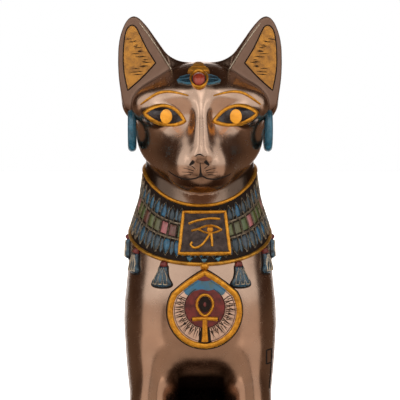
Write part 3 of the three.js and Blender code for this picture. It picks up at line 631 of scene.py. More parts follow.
@dataclass(frozen=True)
class CastFinish(Finish):
    """A polished metal, left satin on the flat of the ears, with shade painted in between the legs and at the
    throat.

    Attributes:
        satin, dark: Colours of the satin metal and of the painted shade, sRGB hex.
        ear_depth_mm, ear_foot_mm: Where the satin starts to show and is full. The same for the other pairs.
        rim_place, rim_slope: Middle of the collar's upper edge in shares, and its rise to the back.
    """

    satin: str = "#7c6354"
    satin_roughness: float = 0.26
    ear_depth_mm: Spot = (1.8, 0.6)
    ear_foot_mm: Spot = (388.0, 392.0)
    dark: str = "#120a06"
    hollow_side_mm: Spot = (23.0, 15.0)
    hollow_front_mm: Spot = (-88.0, -78.0)
    hollow_back_mm: Spot = (-40.0, -50.0)
    hollow_top_mm: Spot = (221.0, 211.0)
    throat_above_mm: Spot = (14, 7)
    throat_below_mm: Spot = (-12, -6)
    throat_side_mm: Spot = (3, 20)
    throat_front_mm: Spot = (-15, -35)
    rim_place: Place = (0.0, -16.0, 70.1)
    rim_slope: float = 0.54
    throat_share: float = 0.8

    def within(self, tree: Tree, *ranges: tuple) -> Socket:
        """Makes a region from values, each with the places where the region starts to show and is full."""
        product = None
        for value, (start, full) in ranges:
            step = add_node(tree, "ShaderNodeMapRange", {
                "Value": value, "From Min": start * MM, "From Max": full * MM},
                interpolation_type="SMOOTHSTEP").outputs[0]
            product = step if product is None else add_node(tree, "ShaderNodeMath", {
                0: product, 1: step}, operation="MULTIPLY").outputs[0]
        return product

    def painted_shade(self, tree: Tree, axes: dict, side: Socket) -> Socket:
        """Makes the share of painted shade in the hollow and at the throat, side being x without its sign."""
        hollow = self.within(tree, (side, self.hollow_side_mm), (axes["Z"], self.hollow_top_mm),
                             (axes["Y"], self.hollow_front_mm), (axes["Y"], self.hollow_back_mm))
        rim = to_model(np.array(self.rim_place))
        fall = add_node(tree, "ShaderNodeMath", {
            0: axes["Y"], 1: -self.rim_slope, 2: self.rim_slope * rim[1] - rim[2]}, operation="MULTIPLY_ADD")
        above = add_node(tree, "ShaderNodeMath", {0: fall.outputs[0], 1: axes["Z"]},
                         operation="ADD").outputs[0]
        throat = self.within(tree, (above, self.throat_above_mm), (above, self.throat_below_mm),
                             (side, self.throat_side_mm), (axes["Y"], self.throat_front_mm))
        part = add_node(tree, "ShaderNodeMath", {0: throat, 1: self.throat_share}, operation="MULTIPLY")
        return add_node(tree, "ShaderNodeMath", {0: hollow, 1: part.outputs[0]},
                        operation="MAXIMUM").outputs[0]

    def ear_flat(self, tree: Tree, axes: dict, side: Socket) -> Socket:
        """Makes the share of satin metal, on the plane of the ear's flat, side being x without its sign."""
        turn, lean = EAR.face_turn, EAR.face_lean
        corner = to_model(np.array(EAR.face_place))
        aside = add_node(tree, "ShaderNodeMath", {0: side, 1: -turn, 2: turn * corner[0] - corner[1]},
                         operation="MULTIPLY_ADD").outputs[0]
        level = add_node(tree, "ShaderNodeMath", {0: axes["Z"], 1: -lean, 2: lean * corner[2]},
                         operation="MULTIPLY_ADD").outputs[0]
        tilted = add_node(tree, "ShaderNodeMath", {0: aside, 1: level}, operation="ADD").outputs[0]
        behind = add_node(tree, "ShaderNodeMath", {0: tilted, 1: axes["Y"]}, operation="ADD").outputs[0]
        off = add_node(tree, "ShaderNodeMath", {0: behind}, operation="ABSOLUTE").outputs[0]
        return self.within(tree, (off, self.ear_depth_mm), (axes["Z"], self.ear_foot_mm))

    def extend(self, tree: Tree, colour: bpy.types.Node, shader: bpy.types.Node) -> None:
        """Mixes both regions in by place: satin on the ears, painted shade in the hollow and at the throat.
        """
        place = add_node(tree, "ShaderNodeTexCoord").outputs["Object"]
        axes = add_node(tree, "ShaderNodeSeparateXYZ", {"Vector": place}).outputs
        side = add_node(tree, "ShaderNodeMath", {0: axes["X"]}, operation="ABSOLUTE").outputs[0]
        painted_shade = self.painted_shade(tree, axes, side)
        flat = self.ear_flat(tree, axes, side)
        gloss = shader.inputs["Roughness"].links[0].from_socket
        brushed = add_node(tree, "ShaderNodeMix", {
            "Factor": flat, 6: colour.outputs[2], 7: linear(self.satin)}, data_type="RGBA")
        # Painted shade: the colour goes dark between the legs and under the jaw, where shade falls.
        shaded = add_node(tree, "ShaderNodeMix", {
            "Factor": painted_shade, 6: brushed.outputs[2], 7: linear(self.dark)}, data_type="RGBA")
        rough = add_node(tree, "ShaderNodeMath", {0: flat, 1: self.satin_roughness, 2: gloss},
                         operation="MULTIPLY_ADD")
        tree.links.new(shaded.outputs[2], shader.inputs["Base Color"])
        tree.links.new(rough.outputs[0], shader.inputs["Roughness"])


class Paint(Enum):
    """The finishes of the figure."""

    # Cold-cast bronze: polished metal powder in resin, a warm brown mirror that blurs reflections, with shade
    # painted in between the legs and at the throat
    BRONZE = CastFinish("polished_cold_cast_bronze", "#b59a86", "#a38774", 1.0, 0.24, 26, 0.01, 0.0, 0.04,
                        0.7)
    # Dark wash left in incised lines, and shade painted under raised edges: matt, nearly black
    WASH_AND_SHADE = Finish("dark_wash_and_painted_shade", "#1c120c", "#0e0805", 0.0, 0.75, 3, 0.03, specular=0.12)
    # Gold leaf paint, brushed on: warm, half metallic, darker where it thins
    GOLD = Finish("brushed_gold_paint", "#d08f2a", "#925c14", 0.78, 0.33, 2.5, 0.03, 0.0, 0.1, 0.8)
    # Gold leaf paint rubbed through to the bronze along the collar's lower rim: dull between bright spots
    WORN_GOLD = Finish("rubbed_gold_paint", "#c48c30", "#805824", 0.8, 0.34, 6, 0.03, 0.0, 0.1, 0.9)
    # Pale gold rubbed over raised lines: thin bright edges with gaps
    PALE = Finish("rubbed_pale_gilding", "#bcae98", "#655546", 0.55, 0.4, 1.4, 0.02, amount=0.85)
    # The same on the collar's rails and petal edges, worn down to its dark ground
    THIN_GILDING = Finish("worn_collar_gilding", "#a3927a", "#3c3128", 0.55, 0.4, 1.4, 0.02, amount=1.0)
    # Ochre paint in the ears, with streaks of a browner coat
    OCHRE = Finish("ochre_paint", "#a26c1c", "#6c4410", 0.3, 0.42, 4, 0.05, 0.0, 0.08, 0.9)
    # Gold paint on the irises, laid clean and even, so that they stand out
    IRIS = Finish("clean_gold_iris", "#dc9424", "#c47e1c", 0.3, 0.36, 4, 0.02, 0.2)
    # Unpainted dark metal behind the eye sign, hammered: grey with uneven glints
    PEWTER = Finish("dark_pewter_field", "#453934", "#1a1311", 0.85, 0.34, 4.5, 0.3, 0.0, 0.12, 0.9)
    # Teal enamel of the hoops and the scarab's wing edges: dark and glossy
    TEAL = Finish("teal_enamel", "#1e4f60", "#11303e", 0.2, 0.26, 4, 0.03, 0.4)
    # Grey-blue enamel of tassels, wings and rear petals: glossy, pooled dark in places
    SLATE = Finish("grey_blue_enamel", "#203e4c", "#0c1519", 0.25, 0.28, 3.5, 0.05, 0.4, 0.08, 0.95)
    # Blue enamel of the pendant's sky, with greenish clouds
    AZURE = Finish("blue_enamel", "#1b526e", "#34433c", 0.1, 0.36, 4, 0.03, 0.25, 0.08, 1.0)
    # Dark red enamel of the sun disc and the tassels' caps: half gloss, nearly black in spots
    RED = Finish("dark_red_enamel", "#5c1b16", "#300c08", 0.1, 0.34, 4, 0.03, 0.15, 0.08, 0.85, specular=0.35)
    # Red stone on the brow, polished: one small bright highlight
    JASPER = Finish("polished_red_stone", "#86301f", "#521a12", 0.0, 0.18, 3, 0.01, 0.12, specular=0.35)
    # Bronze rubbed nearly bare behind the pendant's rays: pale pink-brown
    BLUSH = Finish("pale_rubbed_bronze", "#cfae98", "#a88570", 0.7, 0.4, 5, 0.05)
    # Dark glossy paint of the eyes round the irises
    SCLERA = Finish("dark_glossy_eye", "#2c2220", "#0c0908", 0.4, 0.26, 3, 0.02, 0.2)
    # Blue and grey enamels of the petals, each of its own tone and pooled dark
    PETALS = ToneFinish("petal_enamels", "#2c6474", "#0d161a", 0.3, 0.3, 2.2, 0.2, 0.3, 0.08, 0.75,
                        palette=("#1d5068", "#2c3c44", "#15506e", "#1a2a32", "#36424c"))
    # Green, pink and brown enamels of the cells
    CELLS = ToneFinish("cell_enamels", "#5a7a30", "#3c4420", 0.15, 0.34, 2, 0.04, 0.25, 0.08, 0.4,
                       palette=("#44481e", "#8a484c", "#3a441c", "#52241f", "#443f22"))


# Mesh helpers


@dataclass
class Shell:
    """Points in metres with faces, ready to become a piece."""

    points: Array
    faces: list[tuple[int, ...]]


def merge(shells: Sequence[Shell]) -> Shell:
    """Joins any number of shells.

    Args:
        shells: The shells.

    Returns:
        All of them as one.
    """
    faces: list[tuple[int, ...]] = []
    start = 0
    for shell in shells:
        faces += [tuple(i + start for i in face) for face in shell.faces]
        start += len(shell.points)
    return Shell(np.concatenate([shell.points for shell in shells]), faces)


def turn_outwards(mesh: bpy.types.Mesh) -> None:
    """Makes every closed part of a mesh face outwards."""
    work = bmesh.new()
    work.from_mesh(mesh)
    bmesh.ops.recalc_face_normals(work, faces=work.faces)
    work.to_mesh(mesh)
    work.free()


def smooth(piece: Piece, sharp_deg: float) -> None:
    """Shades a piece smooth and marks the edges above an angle as sharp."""
    piece.data.shade_smooth()
    piece.data.set_sharp_from_angle(angle=math.radians(sharp_deg))


def make_object(name: str, shell: Shell, paint: Paint, sharp_deg: float = 40) -> Piece:
    """Makes a closed piece with smooth shading, its faces turned outwards.

    Args:
        name: The piece's name.
        shell: Its points and faces.
        paint: Its finish.
        sharp_deg: Edges above this angle stay crisp.

    Returns:
        The linked object.
    """
    mesh = bpy.data.meshes.new(name)
    mesh.from_pydata(shell.points.tolist(), [], [list(map(int, face)) for face in shell.faces])
    mesh.validate()
    piece = bpy.data.objects.new(name, mesh)
    bpy.context.scene.collection.objects.link(piece)
    turn_outwards(mesh)
    mesh.materials.append(paint.value.build())
    smooth(piece, sharp_deg)
    return piece


def hand_over(piece: Piece, *stands_for: str) -> Piece:
    """Rides a finished piece on the casting and reports it.

    Args:
        piece: The finished piece.
        *stands_for: CAD nodes that it stands for.

    Returns:
        The piece.
    """
    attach(piece, "root")
    if stands_for:
        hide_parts(*stands_for)
    log.info("%s: %d faces", piece.name, len(piece.data.polygons))
    return piece


def show(name: str, paint: Paint, *shells: Shell, sharp_deg: float = 40) -> None:
    """Makes one piece of the shells and hands it over."""
    hand_over(make_object(name, merge(shells), paint, sharp_deg))


def loft(rings: Sequence[Array], endless: bool = False) -> Shell:
    """Skins closed rings of points; the last ring joins the first, or a fan closes each end."""
    around, count = len(rings[0]), len(rings)
    points = np.concatenate(rings)
    faces: list[tuple[int, ...]] = []
    for r in range(count if endless else count - 1):
        n = (r + 1) % count
        for i in range(around):
            j = (i + 1) % around
            faces.append((r * around + i, r * around + j, n * around + j, n * around + i))
    if not endless:
        for ring in (0, count - 1):
            centre, first = len(points), ring * around
            points = np.concatenate([points, rings[ring].mean(0)[None]])
            faces.extend((centre, first + i, first + (i + 1) % around) for i in range(around))
    return Shell(points, faces)


def round_ring(centre: Array, first: Array, second: Array, radius: float, count: int) -> Array:
    """Returns a circle about a centre, in the plane of two unit vectors."""
    angle = np.linspace(0, 2 * math.pi, count, endpoint=False)[:, None]
    return centre + (first * np.cos(angle) + second * np.sin(angle)) * radius


class Ground:
    """A surface on which an ornament lies."""

    def put(self, flat: Array, lift: Array) -> Array:
        """Turns flat places into points on the surface.

        Args:
            flat: The flat places.
            lift: Heights above the surface in millimetres.

        Returns:
            The points in metres.
        """
        raise NotImplementedError


def lifted(shape: Field, points: Array, lift: Array) -> Array:
    """Returns points of a field's surface in metres, lifted off it by millimetres."""
    return to_model(points) + outward(shape, points) * (np.asarray(lift) * MM)[:, None]


@dataclass(frozen=True)
class FrontGround(Ground):
    """The cat's own front, addressed by x and z in shares and found by strides from start_y backwards."""

    start_y: float = -27.0
    strides: int = 26
    stride: float = 0.85

    def put(self, flat: Array, lift: Array) -> Array:
        """Marches backwards to the surface and lifts the points off it."""
        flat = np.asarray(flat, float)
        points = np.column_stack([flat[:, 0], np.full(len(flat), self.start_y), flat[:, 1]])
        for _ in range(self.strides):
            points[:, 1] += whole(points[:, 0], points[:, 1], points[:, 2]) * self.stride
        return lifted(whole, points, lift)


@dataclass(frozen=True)
class EarGround(Ground):
    """The flat face of one ear, addressed by the unsigned x and z in shares; sign is its side."""

    sign: float

    def put(self, flat: Array, lift: Array) -> Array:
        """Places points on the ear's face plane."""
        flat = np.asarray(flat, float)
        normal = np.array([EAR.face_turn, -1.0, EAR.face_lean])
        normal /= math.sqrt(1 + EAR.face_turn**2 + EAR.face_lean**2)
        face = np.column_stack([flat[:, 0], EAR.face_y(flat[:, 0], flat[:, 1]), flat[:, 1]])
        points = face + normal * (np.asarray(lift) / SHARE)[:, None]
        points[:, 0] *= self.sign
        return to_model(points)


@dataclass(frozen=True)
class CollarGround(Ground):
    """The neck's surface under the collar, by an angle from straight ahead and a share of the width.

    Attributes:
        upper, lower: An edge's height at the side, and its fall to the front by the cosine and by its square.
    """

    axis_y: float = -6.5
    upper: Place = (75.2, 3.2, 1.9)
    lower: Place = (65, 3, 1.4)
    rounds: int = 8

    def top(self, forward: Array) -> Array:
        """Returns the height of the upper edge at a cosine of the angle."""
        return self.upper[0] - self.upper[1] * forward - self.upper[2] * forward * forward

    def foot(self, forward: Array) -> Array:
        """Returns the height of the lower edge at a cosine of the angle."""
        return self.lower[0] - self.lower[1] * forward - self.lower[2] * forward * forward

    def put(self, flat: Array, lift: Array, forward: Optional[Array] = None) -> Array:
        """Places points by angle and share of the width.

        Args:
            flat, lift: As in every ground.
            forward: Cosines that set the heights, where they aren't the angles' own.

        Returns:
            The points in metres.
        """
        flat = np.asarray(flat, float)
        angle, up = flat[:, 0], flat[:, 1]
        ahead = np.cos(angle) if forward is None else forward
        z = self.foot(ahead) + (self.top(ahead) - self.foot(ahead)) * up
        front, back, half = BODY.front(z), BODY.back(z), BODY.half_width(z)
        centre, deep = (front + back) / 2, (back - front) / 2
        dx, dy = np.sin(angle), -np.cos(angle)
        a = (dx / half) ** 2 + (dy / deep) ** 2
        b = 2 * (self.axis_y - centre) * dy / deep**2
        c = ((self.axis_y - centre) / deep) ** 2 - 1
        reach = (-b + np.sqrt(b * b - 4 * a * c)) / (2 * a)
        for _ in range(self.rounds):
            reach = reach - BODY.trunk(dx * reach, self.axis_y + dy * reach, z)
        return lifted(BODY.trunk, np.column_stack([dx * reach, self.axis_y + dy * reach, z]), lift)


FRONT = FrontGround()
COLLAR = CollarGround()
SIDES = ((-1, "right"), (1, "left"))
ROOT_MM = 0.8
CROWN = ((-1, 0.3), (-0.78, 0.72), (-0.4, 0.95), (0, 1), (0.4, 0.95), (0.78, 0.72), (1, 0.3))


def ribbon(ground: Ground, path: Path, width: Callable[[float], float] | float, height: float,
           closed: bool = False, root: float = ROOT_MM) -> Shell:
    """A raised line with a rounded top.

    Args:
        ground: The surface it lies on.
        path: Places along its middle.
        width: Its width in millimetres, or a function of the share along it.
        height: Height of its crown in millimetres.
        closed: Whether it ends where it starts.
        root: How far it runs into the surface, in millimetres.

    Returns:
        The closed shell.
    """
    line = np.asarray(path, float)
    count = len(line)
    number = np.arange(count)
    before, after = line[np.maximum(number - 1, 0)], line[np.minimum(number + 1, count - 1)]
    if closed:
        before, after = np.roll(line, 1, axis=0), np.roll(line, -1, axis=0)
    run = after - before
    run /= np.maximum(np.linalg.norm(run, axis=1), 1e-9)[:, None]
    across = np.column_stack([-run[:, 1], run[:, 0]])
    share = number / max(count - 1, 1)
    half = np.array([(width(s) if callable(width) else width) / 2 / SHARE for s in share])
    profile = [(-1, -root), *((side, height * rise) for side, rise in CROWN), (1, -root)]
    sides, lifts = np.array(profile).T
    flat = line[:, None] + across[:, None] * (half[:, None] * sides)[..., None]
    placed = ground.put(flat.reshape(-1, 2), np.tile(lifts, count))
    return loft(list(placed.reshape(count, len(profile), 3)), closed)


def plate(ground: Ground, outline: Path, centre: Spot, rings: Path) -> Shell:
    """A raised plate: its outline drawn in towards a centre.

    Args:
        ground: The surface it lies on.
        outline: The outline's places, once round.
        centre: The place that the rings draw in to.
        rings: Scale of the outline and lift in millimetres, from the buried ring to the top.

    Returns:
        The closed shell.
    """
    line, middle = np.asarray(outline, float), np.asarray(centre, float)
    scales, lifts = np.array(rings).T
    flat = middle + (line - middle)[None] * scales[:, None, None]
    placed = ground.put(flat.reshape(-1, 2), np.repeat(lifts, len(line)))
    return loft(list(placed.reshape(len(rings), len(line), 3)))


def flat_rings(height: float, edge: float = 0.04) -> list[Spot]:
    """Returns the rings of a flat plate with a softened edge."""
    top = [(scale, height) for scale in (1 - edge, 0.8, 0.55, 0.3, 0.12)]
    return [(0.5, -ROOT_MM), (1, -ROOT_MM), (1, height * 0.6), *top]


def dome_rings(height: float) -> list[Spot]:
    """Returns the rings of a domed plate."""
    dome = [(math.cos(a), height * math.sin(a)) for a in np.linspace(0.12, 1.45, 9)]
    return [(0.5, -ROOT_MM), (1, -ROOT_MM), *dome]


def arc(centre: Spot, radii: Spot, start: float, end: float, steps: int) -> list[Spot]:
    """Returns the points of an arc, its angles in degrees."""
    angles = np.radians(np.linspace(start, end, steps + 1))
    return [(centre[0] + radii[0] * math.cos(a), centre[1] + radii[1] * math.sin(a)) for a in angles]


def circle(centre: Spot, radii: Spot, count: int) -> list[Spot]:
    """Returns the points of a whole circle, the first one not repeated."""
    return arc(centre, radii, 0, 360, count)[:-1]


def smooth_path(corners: Sequence[tuple], steps: int, closed: bool = False) -> list[tuple]:
    """Runs a Catmull-Rom curve through corners, in the plane or in space.

    Args:
        corners: The corners.
        steps: Points from one to the next.
        closed: Whether it returns to the first one.

    Returns:
        The curve's points.
    """
    line = [np.array(p, float) for p in corners]
    count = len(line)
    out = []
    for i in range(count if closed else count - 1):
        near = [k % count if closed else min(max(k, 0), count - 1) for k in range(i - 1, i + 3)]
        a, b, c, d = (line[k] for k in near)
        for t in (s / steps for s in range(steps)):
            out.append(tuple(0.5 * (2 * b + (c - a) * t + (2 * a - 5 * b + 4 * c - d) * t * t
                                    + (3 * b - a - 3 * c + d) * t**3)))
    return out if closed else [*out, tuple(line[-1])]


def straight_path(corners: Path, steps: int, closed: bool = False) -> list[Spot]:
    """Runs straight from corner to corner, each time in equal steps, with smooth_path's arguments."""
    line = [np.array(p, float) for p in corners]
    if closed:
        line.append(line[0])
    out = []
    for a, b in zip(line[:-1], line[1:]):
        out.extend(tuple(a + (b - a) * s / steps) for s in range(steps))
    return out if closed else [*out, tuple(line[-1])]


def mirrored(path: Path, sign: float) -> list[Spot]:
    """Returns a path on the side that the sign says."""
    return [(sign * x, z) for x, z in path]


def moved(path: Path, origin: Spot) -> list[Spot]:
    """Returns a path that was drawn about an origin at its place."""
    return [(origin[0] + x, origin[1] + z) for x, z in path]


# What repeats, by Geometry Nodes


class RowOfCopies:
    """A Geometry Nodes tree that lays copies of a flat motif in a row, each with a tone of its own."""

    inputs = {"Motif": "Geometry", "Count": "Int", "Start": "Float", "Spacing": "Float", "Spread": "Float",
              "Seed": "Int", "Finish": "Material"}

    def __init__(self) -> None:
        """Builds the tree once."""
        self.tree = bpy.data.node_groups.get("row_of_copies") or self.build()

    def build(self) -> Tree:
        """Builds a line of points with a copy on each, made real and painted."""
        tree = bpy.data.node_groups.new("row_of_copies", "GeometryNodeTree")
        for label, kind in self.inputs.items():
            tree.interface.new_socket(label, in_out="INPUT", socket_type=f"NodeSocket{kind}")
        tree.interface.new_socket("Row", in_out="OUTPUT", socket_type="NodeSocketGeometry")
        given = add_node(tree, "NodeGroupInput").outputs
        start = add_node(tree, "ShaderNodeCombineXYZ", {"X": given["Start"]}).outputs[0]
        step = add_node(tree, "ShaderNodeCombineXYZ", {"X": given["Spacing"]}).outputs[0]
        line = add_node(tree, "GeometryNodeMeshLine", {
            "Count": given["Count"], "Start Location": start, "Offset": step})
        tone = add_node(tree, "FunctionNodeRandomValue", {2: 0.0, 3: 1.0, "Seed": given["Seed"]})
        toned = add_node(tree, "GeometryNodeStoreNamedAttribute", {
            "Geometry": line.outputs["Mesh"], "Name": "tone", "Value": tone.outputs[1]})
        wander = add_node(tree, "ShaderNodeMath", {0: tone.outputs[1], 1: given["Spread"]},
                          operation="MULTIPLY")
        grown = add_node(tree, "ShaderNodeMath", {0: 1.0, 1: wander.outputs[0]}, operation="SUBTRACT")
        scale = add_node(tree, "ShaderNodeCombineXYZ", {"X": 1.0, "Y": grown.outputs[0], "Z": 1.0})
        copies = add_node(tree, "GeometryNodeInstanceOnPoints", {
            "Points": toned.outputs["Geometry"], "Instance": given["Motif"], "Scale": scale.outputs[0]})
        real = add_node(tree, "GeometryNodeRealizeInstances", {"Geometry": copies.outputs["Instances"]})
        painted = add_node(tree, "GeometryNodeSetMaterial", {
            "Geometry": real.outputs["Geometry"], "Material": given["Finish"]})
        add_node(tree, "NodeGroupOutput", {"Row": painted.outputs["Geometry"]})
        return tree

    def lay(self, name: str, motif: Shell, count: int, start: float, spacing: float, seed: int,
            paint: Paint, spread: float = 0.0) -> Piece:
        """Lays the row and turns it into a plain mesh.

        Args:
            name, motif: The piece's name, and one copy in flat units.
            count, start, spacing: How many copies, the place of the first and the distance to the next.
            seed, paint: Seed of the tones, and the finish.
            spread: How much shorter a copy may be, as a share.

        Returns:
            The object, still flat.
        """
        mesh = bpy.data.meshes.new(name)
        mesh.from_pydata(motif.points.tolist(), [], [list(face) for face in motif.faces])
        piece = bpy.data.objects.new(name, mesh)
        bpy.context.scene.collection.objects.link(piece)
        nodes = piece.modifiers.new("row", "NODES")
        nodes.node_group = self.tree
        values = {"Count": count, "Start": float(start), "Spacing": float(spacing), "Spread": float(spread),
                  "Seed": seed, "Finish": paint.value.build()}
        for item in self.tree.interface.items_tree:
            if item.in_out == "INPUT" and item.name in values:
                nodes[item.identifier] = values[item.name]
        graph = bpy.context.evaluated_depsgraph_get()
        plain_mesh = bpy.data.meshes.new_from_object(piece.evaluated_get(graph), depsgraph=graph)
        piece.modifiers.clear()
        piece.data = plain_mesh
        return piece


def bend_onto(piece: Piece, put: Callable[[Array, Array], Array]) -> Piece:
    """Moves a flat row's vertices onto a surface: x and y are flat places, z is the lift in millimetres."""
    mesh = piece.data
    flat = np.zeros(len(mesh.vertices) * 3)
    mesh.vertices.foreach_get("co", flat)
    flat = flat.reshape(-1, 3)
    mesh.vertices.foreach_set("co", put(flat[:, :2], flat[:, 2]).ravel())
    mesh.update()
    turn_outwards(mesh)
    smooth(piece, 50)
    return piece


def flat_layer(outline: Path, centre: Spot, scale: float, lift: float) -> Array:
    """Returns an outline drawn in to a centre, with its lift in the third axis."""
    line, middle = np.asarray(outline, float), np.asarray(centre, float)
    return np.column_stack([middle + (line - middle) * scale, np.full(len(line), lift)])


def flat_plate(outline: Path, centre: Spot, rings: Path) -> Shell:
    """Returns a motif in flat units, from the scales and lifts of its rings."""
    return loft([flat_layer(outline, centre, scale, lift) for scale, lift in rings])


def flat_band(outline: Path, centre: Spot, inner: float, height: float, root: float) -> Shell:
    """Returns a raised edge round a motif, rounded on top, from its outline in to a share of it."""
    profile = ((1, -root), (1, height * 0.6), (0.5, height), (0, height * 0.6), (0, -root))
    rings = [flat_layer(outline, centre, inner + (1 - inner) * share, lift) for share, lift in profile]
    return loft(list(np.stack(rings, axis=1)), True)


# The casting


@dataclass
class Casting:
    """The bronze itself: head, body, tail and base. Sizes without a unit are in shares.

    Attributes:
        head_grid, body_grid: Start, end and cell of each run, the cell in multiples of the usual one.
        base_groove: Heights of the groove's corners, as shares of the base's height.
    """

    head_cell_mm: float = 1.15
    head_grid: tuple = (((-14, 14, 1),), ((-25, -12, 1), (-12, 5, 1.3)), ((66.5, 72, 1.8), (72, 100.2, 1)))
    body_cell_mm: float = 2.3
    body_grid: tuple = (((-14, 14, 1),), ((-26, -9, 0.8), (-9, 24.5, 1)), ((-0.7, 6, 0.6), (6, 72.5, 1)))
    base_length_mm: float = 244.0
    base_width_mm: float = 150.0
    base_corner_mm: float = 14.0
    base_bevel_mm: float = 1.5
    base_groove_mm: float = 0.9
    base_groove: tuple = (0.62, 0.66, 0.72, 0.76)
    tail_route: tuple = (
        (4.5, 16, 7.5), (1.5, 20.8, 6.2), (-2.6, 22.2, 4.4), (-7.6, 20.8, 2.9), (-11.4, 15.6, 2.1),
        (-13.2, 8, 1.8), (-13.7, -1, 1.7), (-13.1, -9.5, 1.6), (-11.7, -15.8, 1.5))
    tail_radii: Spot = (2.2, 1.5)
    tail_sides: int = 24
    tip_length: float = 0.9

    def meshed(self, name: str, shape: Field, grid: tuple, cell_mm: float) -> Piece:
        """Meshes a part of the free form by the runs of its grid along x, y and z and its usual cell."""
        cell = cell_mm / SHARE
        axes = [grid_lines([(start, end, cell * size) for start, end, size in runs]) for runs in grid]
        points, quads = SurfaceNet(shape, axes).mesh()
        return make_object(name, Shell(to_model(points), quads.tolist()), Paint.BRONZE, 180)

    def head(self) -> Piece:
        """Makes head, ears and neck, down to inside the collar."""
        foot = self.head_grid[2][0][0]
        return self.meshed("cat_head", lambda x, y, z: np.maximum(HEAD.field(x, y, z), foot - z),
                           self.head_grid, self.head_cell_mm)

    def body(self) -> Piece:
        """Makes trunk and legs, from inside the collar down into the base."""
        foot, top = self.body_grid[2][0][0], self.body_grid[2][-1][1]
        return self.meshed(
            "cat_body", lambda x, y, z: np.maximum(np.maximum(BODY.field(x, y, z), z - top), foot - z),
            self.body_grid, self.body_cell_mm)

    def tail(self) -> Piece:
        """Makes the tail, laid round the cat's right side."""
        line = np.array(smooth_path(self.tail_route, 12))
        run = np.gradient(line, axis=0)
        run /= np.linalg.norm(run, axis=1)[:, None]
        side = np.cross([0.0, 0.0, 1.0], run)
        side /= np.linalg.norm(side, axis=1)[:, None]
        up = np.cross(run, side)
        root, tip = self.tail_radii
        radius = root + (tip - root) * np.linspace(0, 1, len(line))
        rings = [round_ring(line[i], side[i], up[i], radius[i], self.tail_sides) for i in range(len(line))]
        for turn in (step / 5.4 * math.pi / 2 for step in range(1, 6)):
            middle = line[-1] + run[-1] * tip * math.sin(turn) * self.tip_length
            rings.append(round_ring(middle, side[-1], up[-1], tip * math.cos(turn), self.tail_sides))
        return make_object("cat_tail", loft([to_model(ring) for ring in rings]), Paint.BRONZE, 60)

    def base_ring(self, inset: float, height: float) -> Array:
        """Draws the base's outline in metres, from an inset and a height in millimetres."""
        radius = self.base_corner_mm + self.base_bevel_mm - inset
        across, along = (size / 2 - inset - radius for size in (self.base_width_mm, self.base_length_mm))
        corners = []
        for sx, sy, first in ((1, -1, -90), (1, 1, 0), (-1, 1, 90), (-1, -1, 180)):
            corners.extend(arc((sx * across, sy * along), (radius, radius), first, first + 90, 10))
        return np.column_stack([np.array(corners), np.full(len(corners), height)]) * MM

    def base(self) -> Piece:
        """Makes the low base with rounded corners, softened edges and a groove."""
        bevel, depth, height = self.base_bevel_mm, self.base_groove_mm, BASE_HEIGHT_MM
        groove = [(inset, height * share) for inset, share in zip((0, depth, depth, 0), self.base_groove)]
        levels = [(bevel, 0.0), (bevel * 0.4, bevel * 0.35), (0, bevel), *groove, (0, height - bevel),
                  (bevel * 0.4, height - bevel * 0.35), (bevel, height)]
        return make_object("cat_base", loft([self.base_ring(*level) for level in levels]), Paint.BRONZE, 50)

    def build(self) -> None:
        """Builds the casting's pieces and hands them over."""
        hand_over(self.head(), "bastet_cat")
        for piece in (self.body, self.tail, self.base):
            hand_over(piece())


# The ornaments


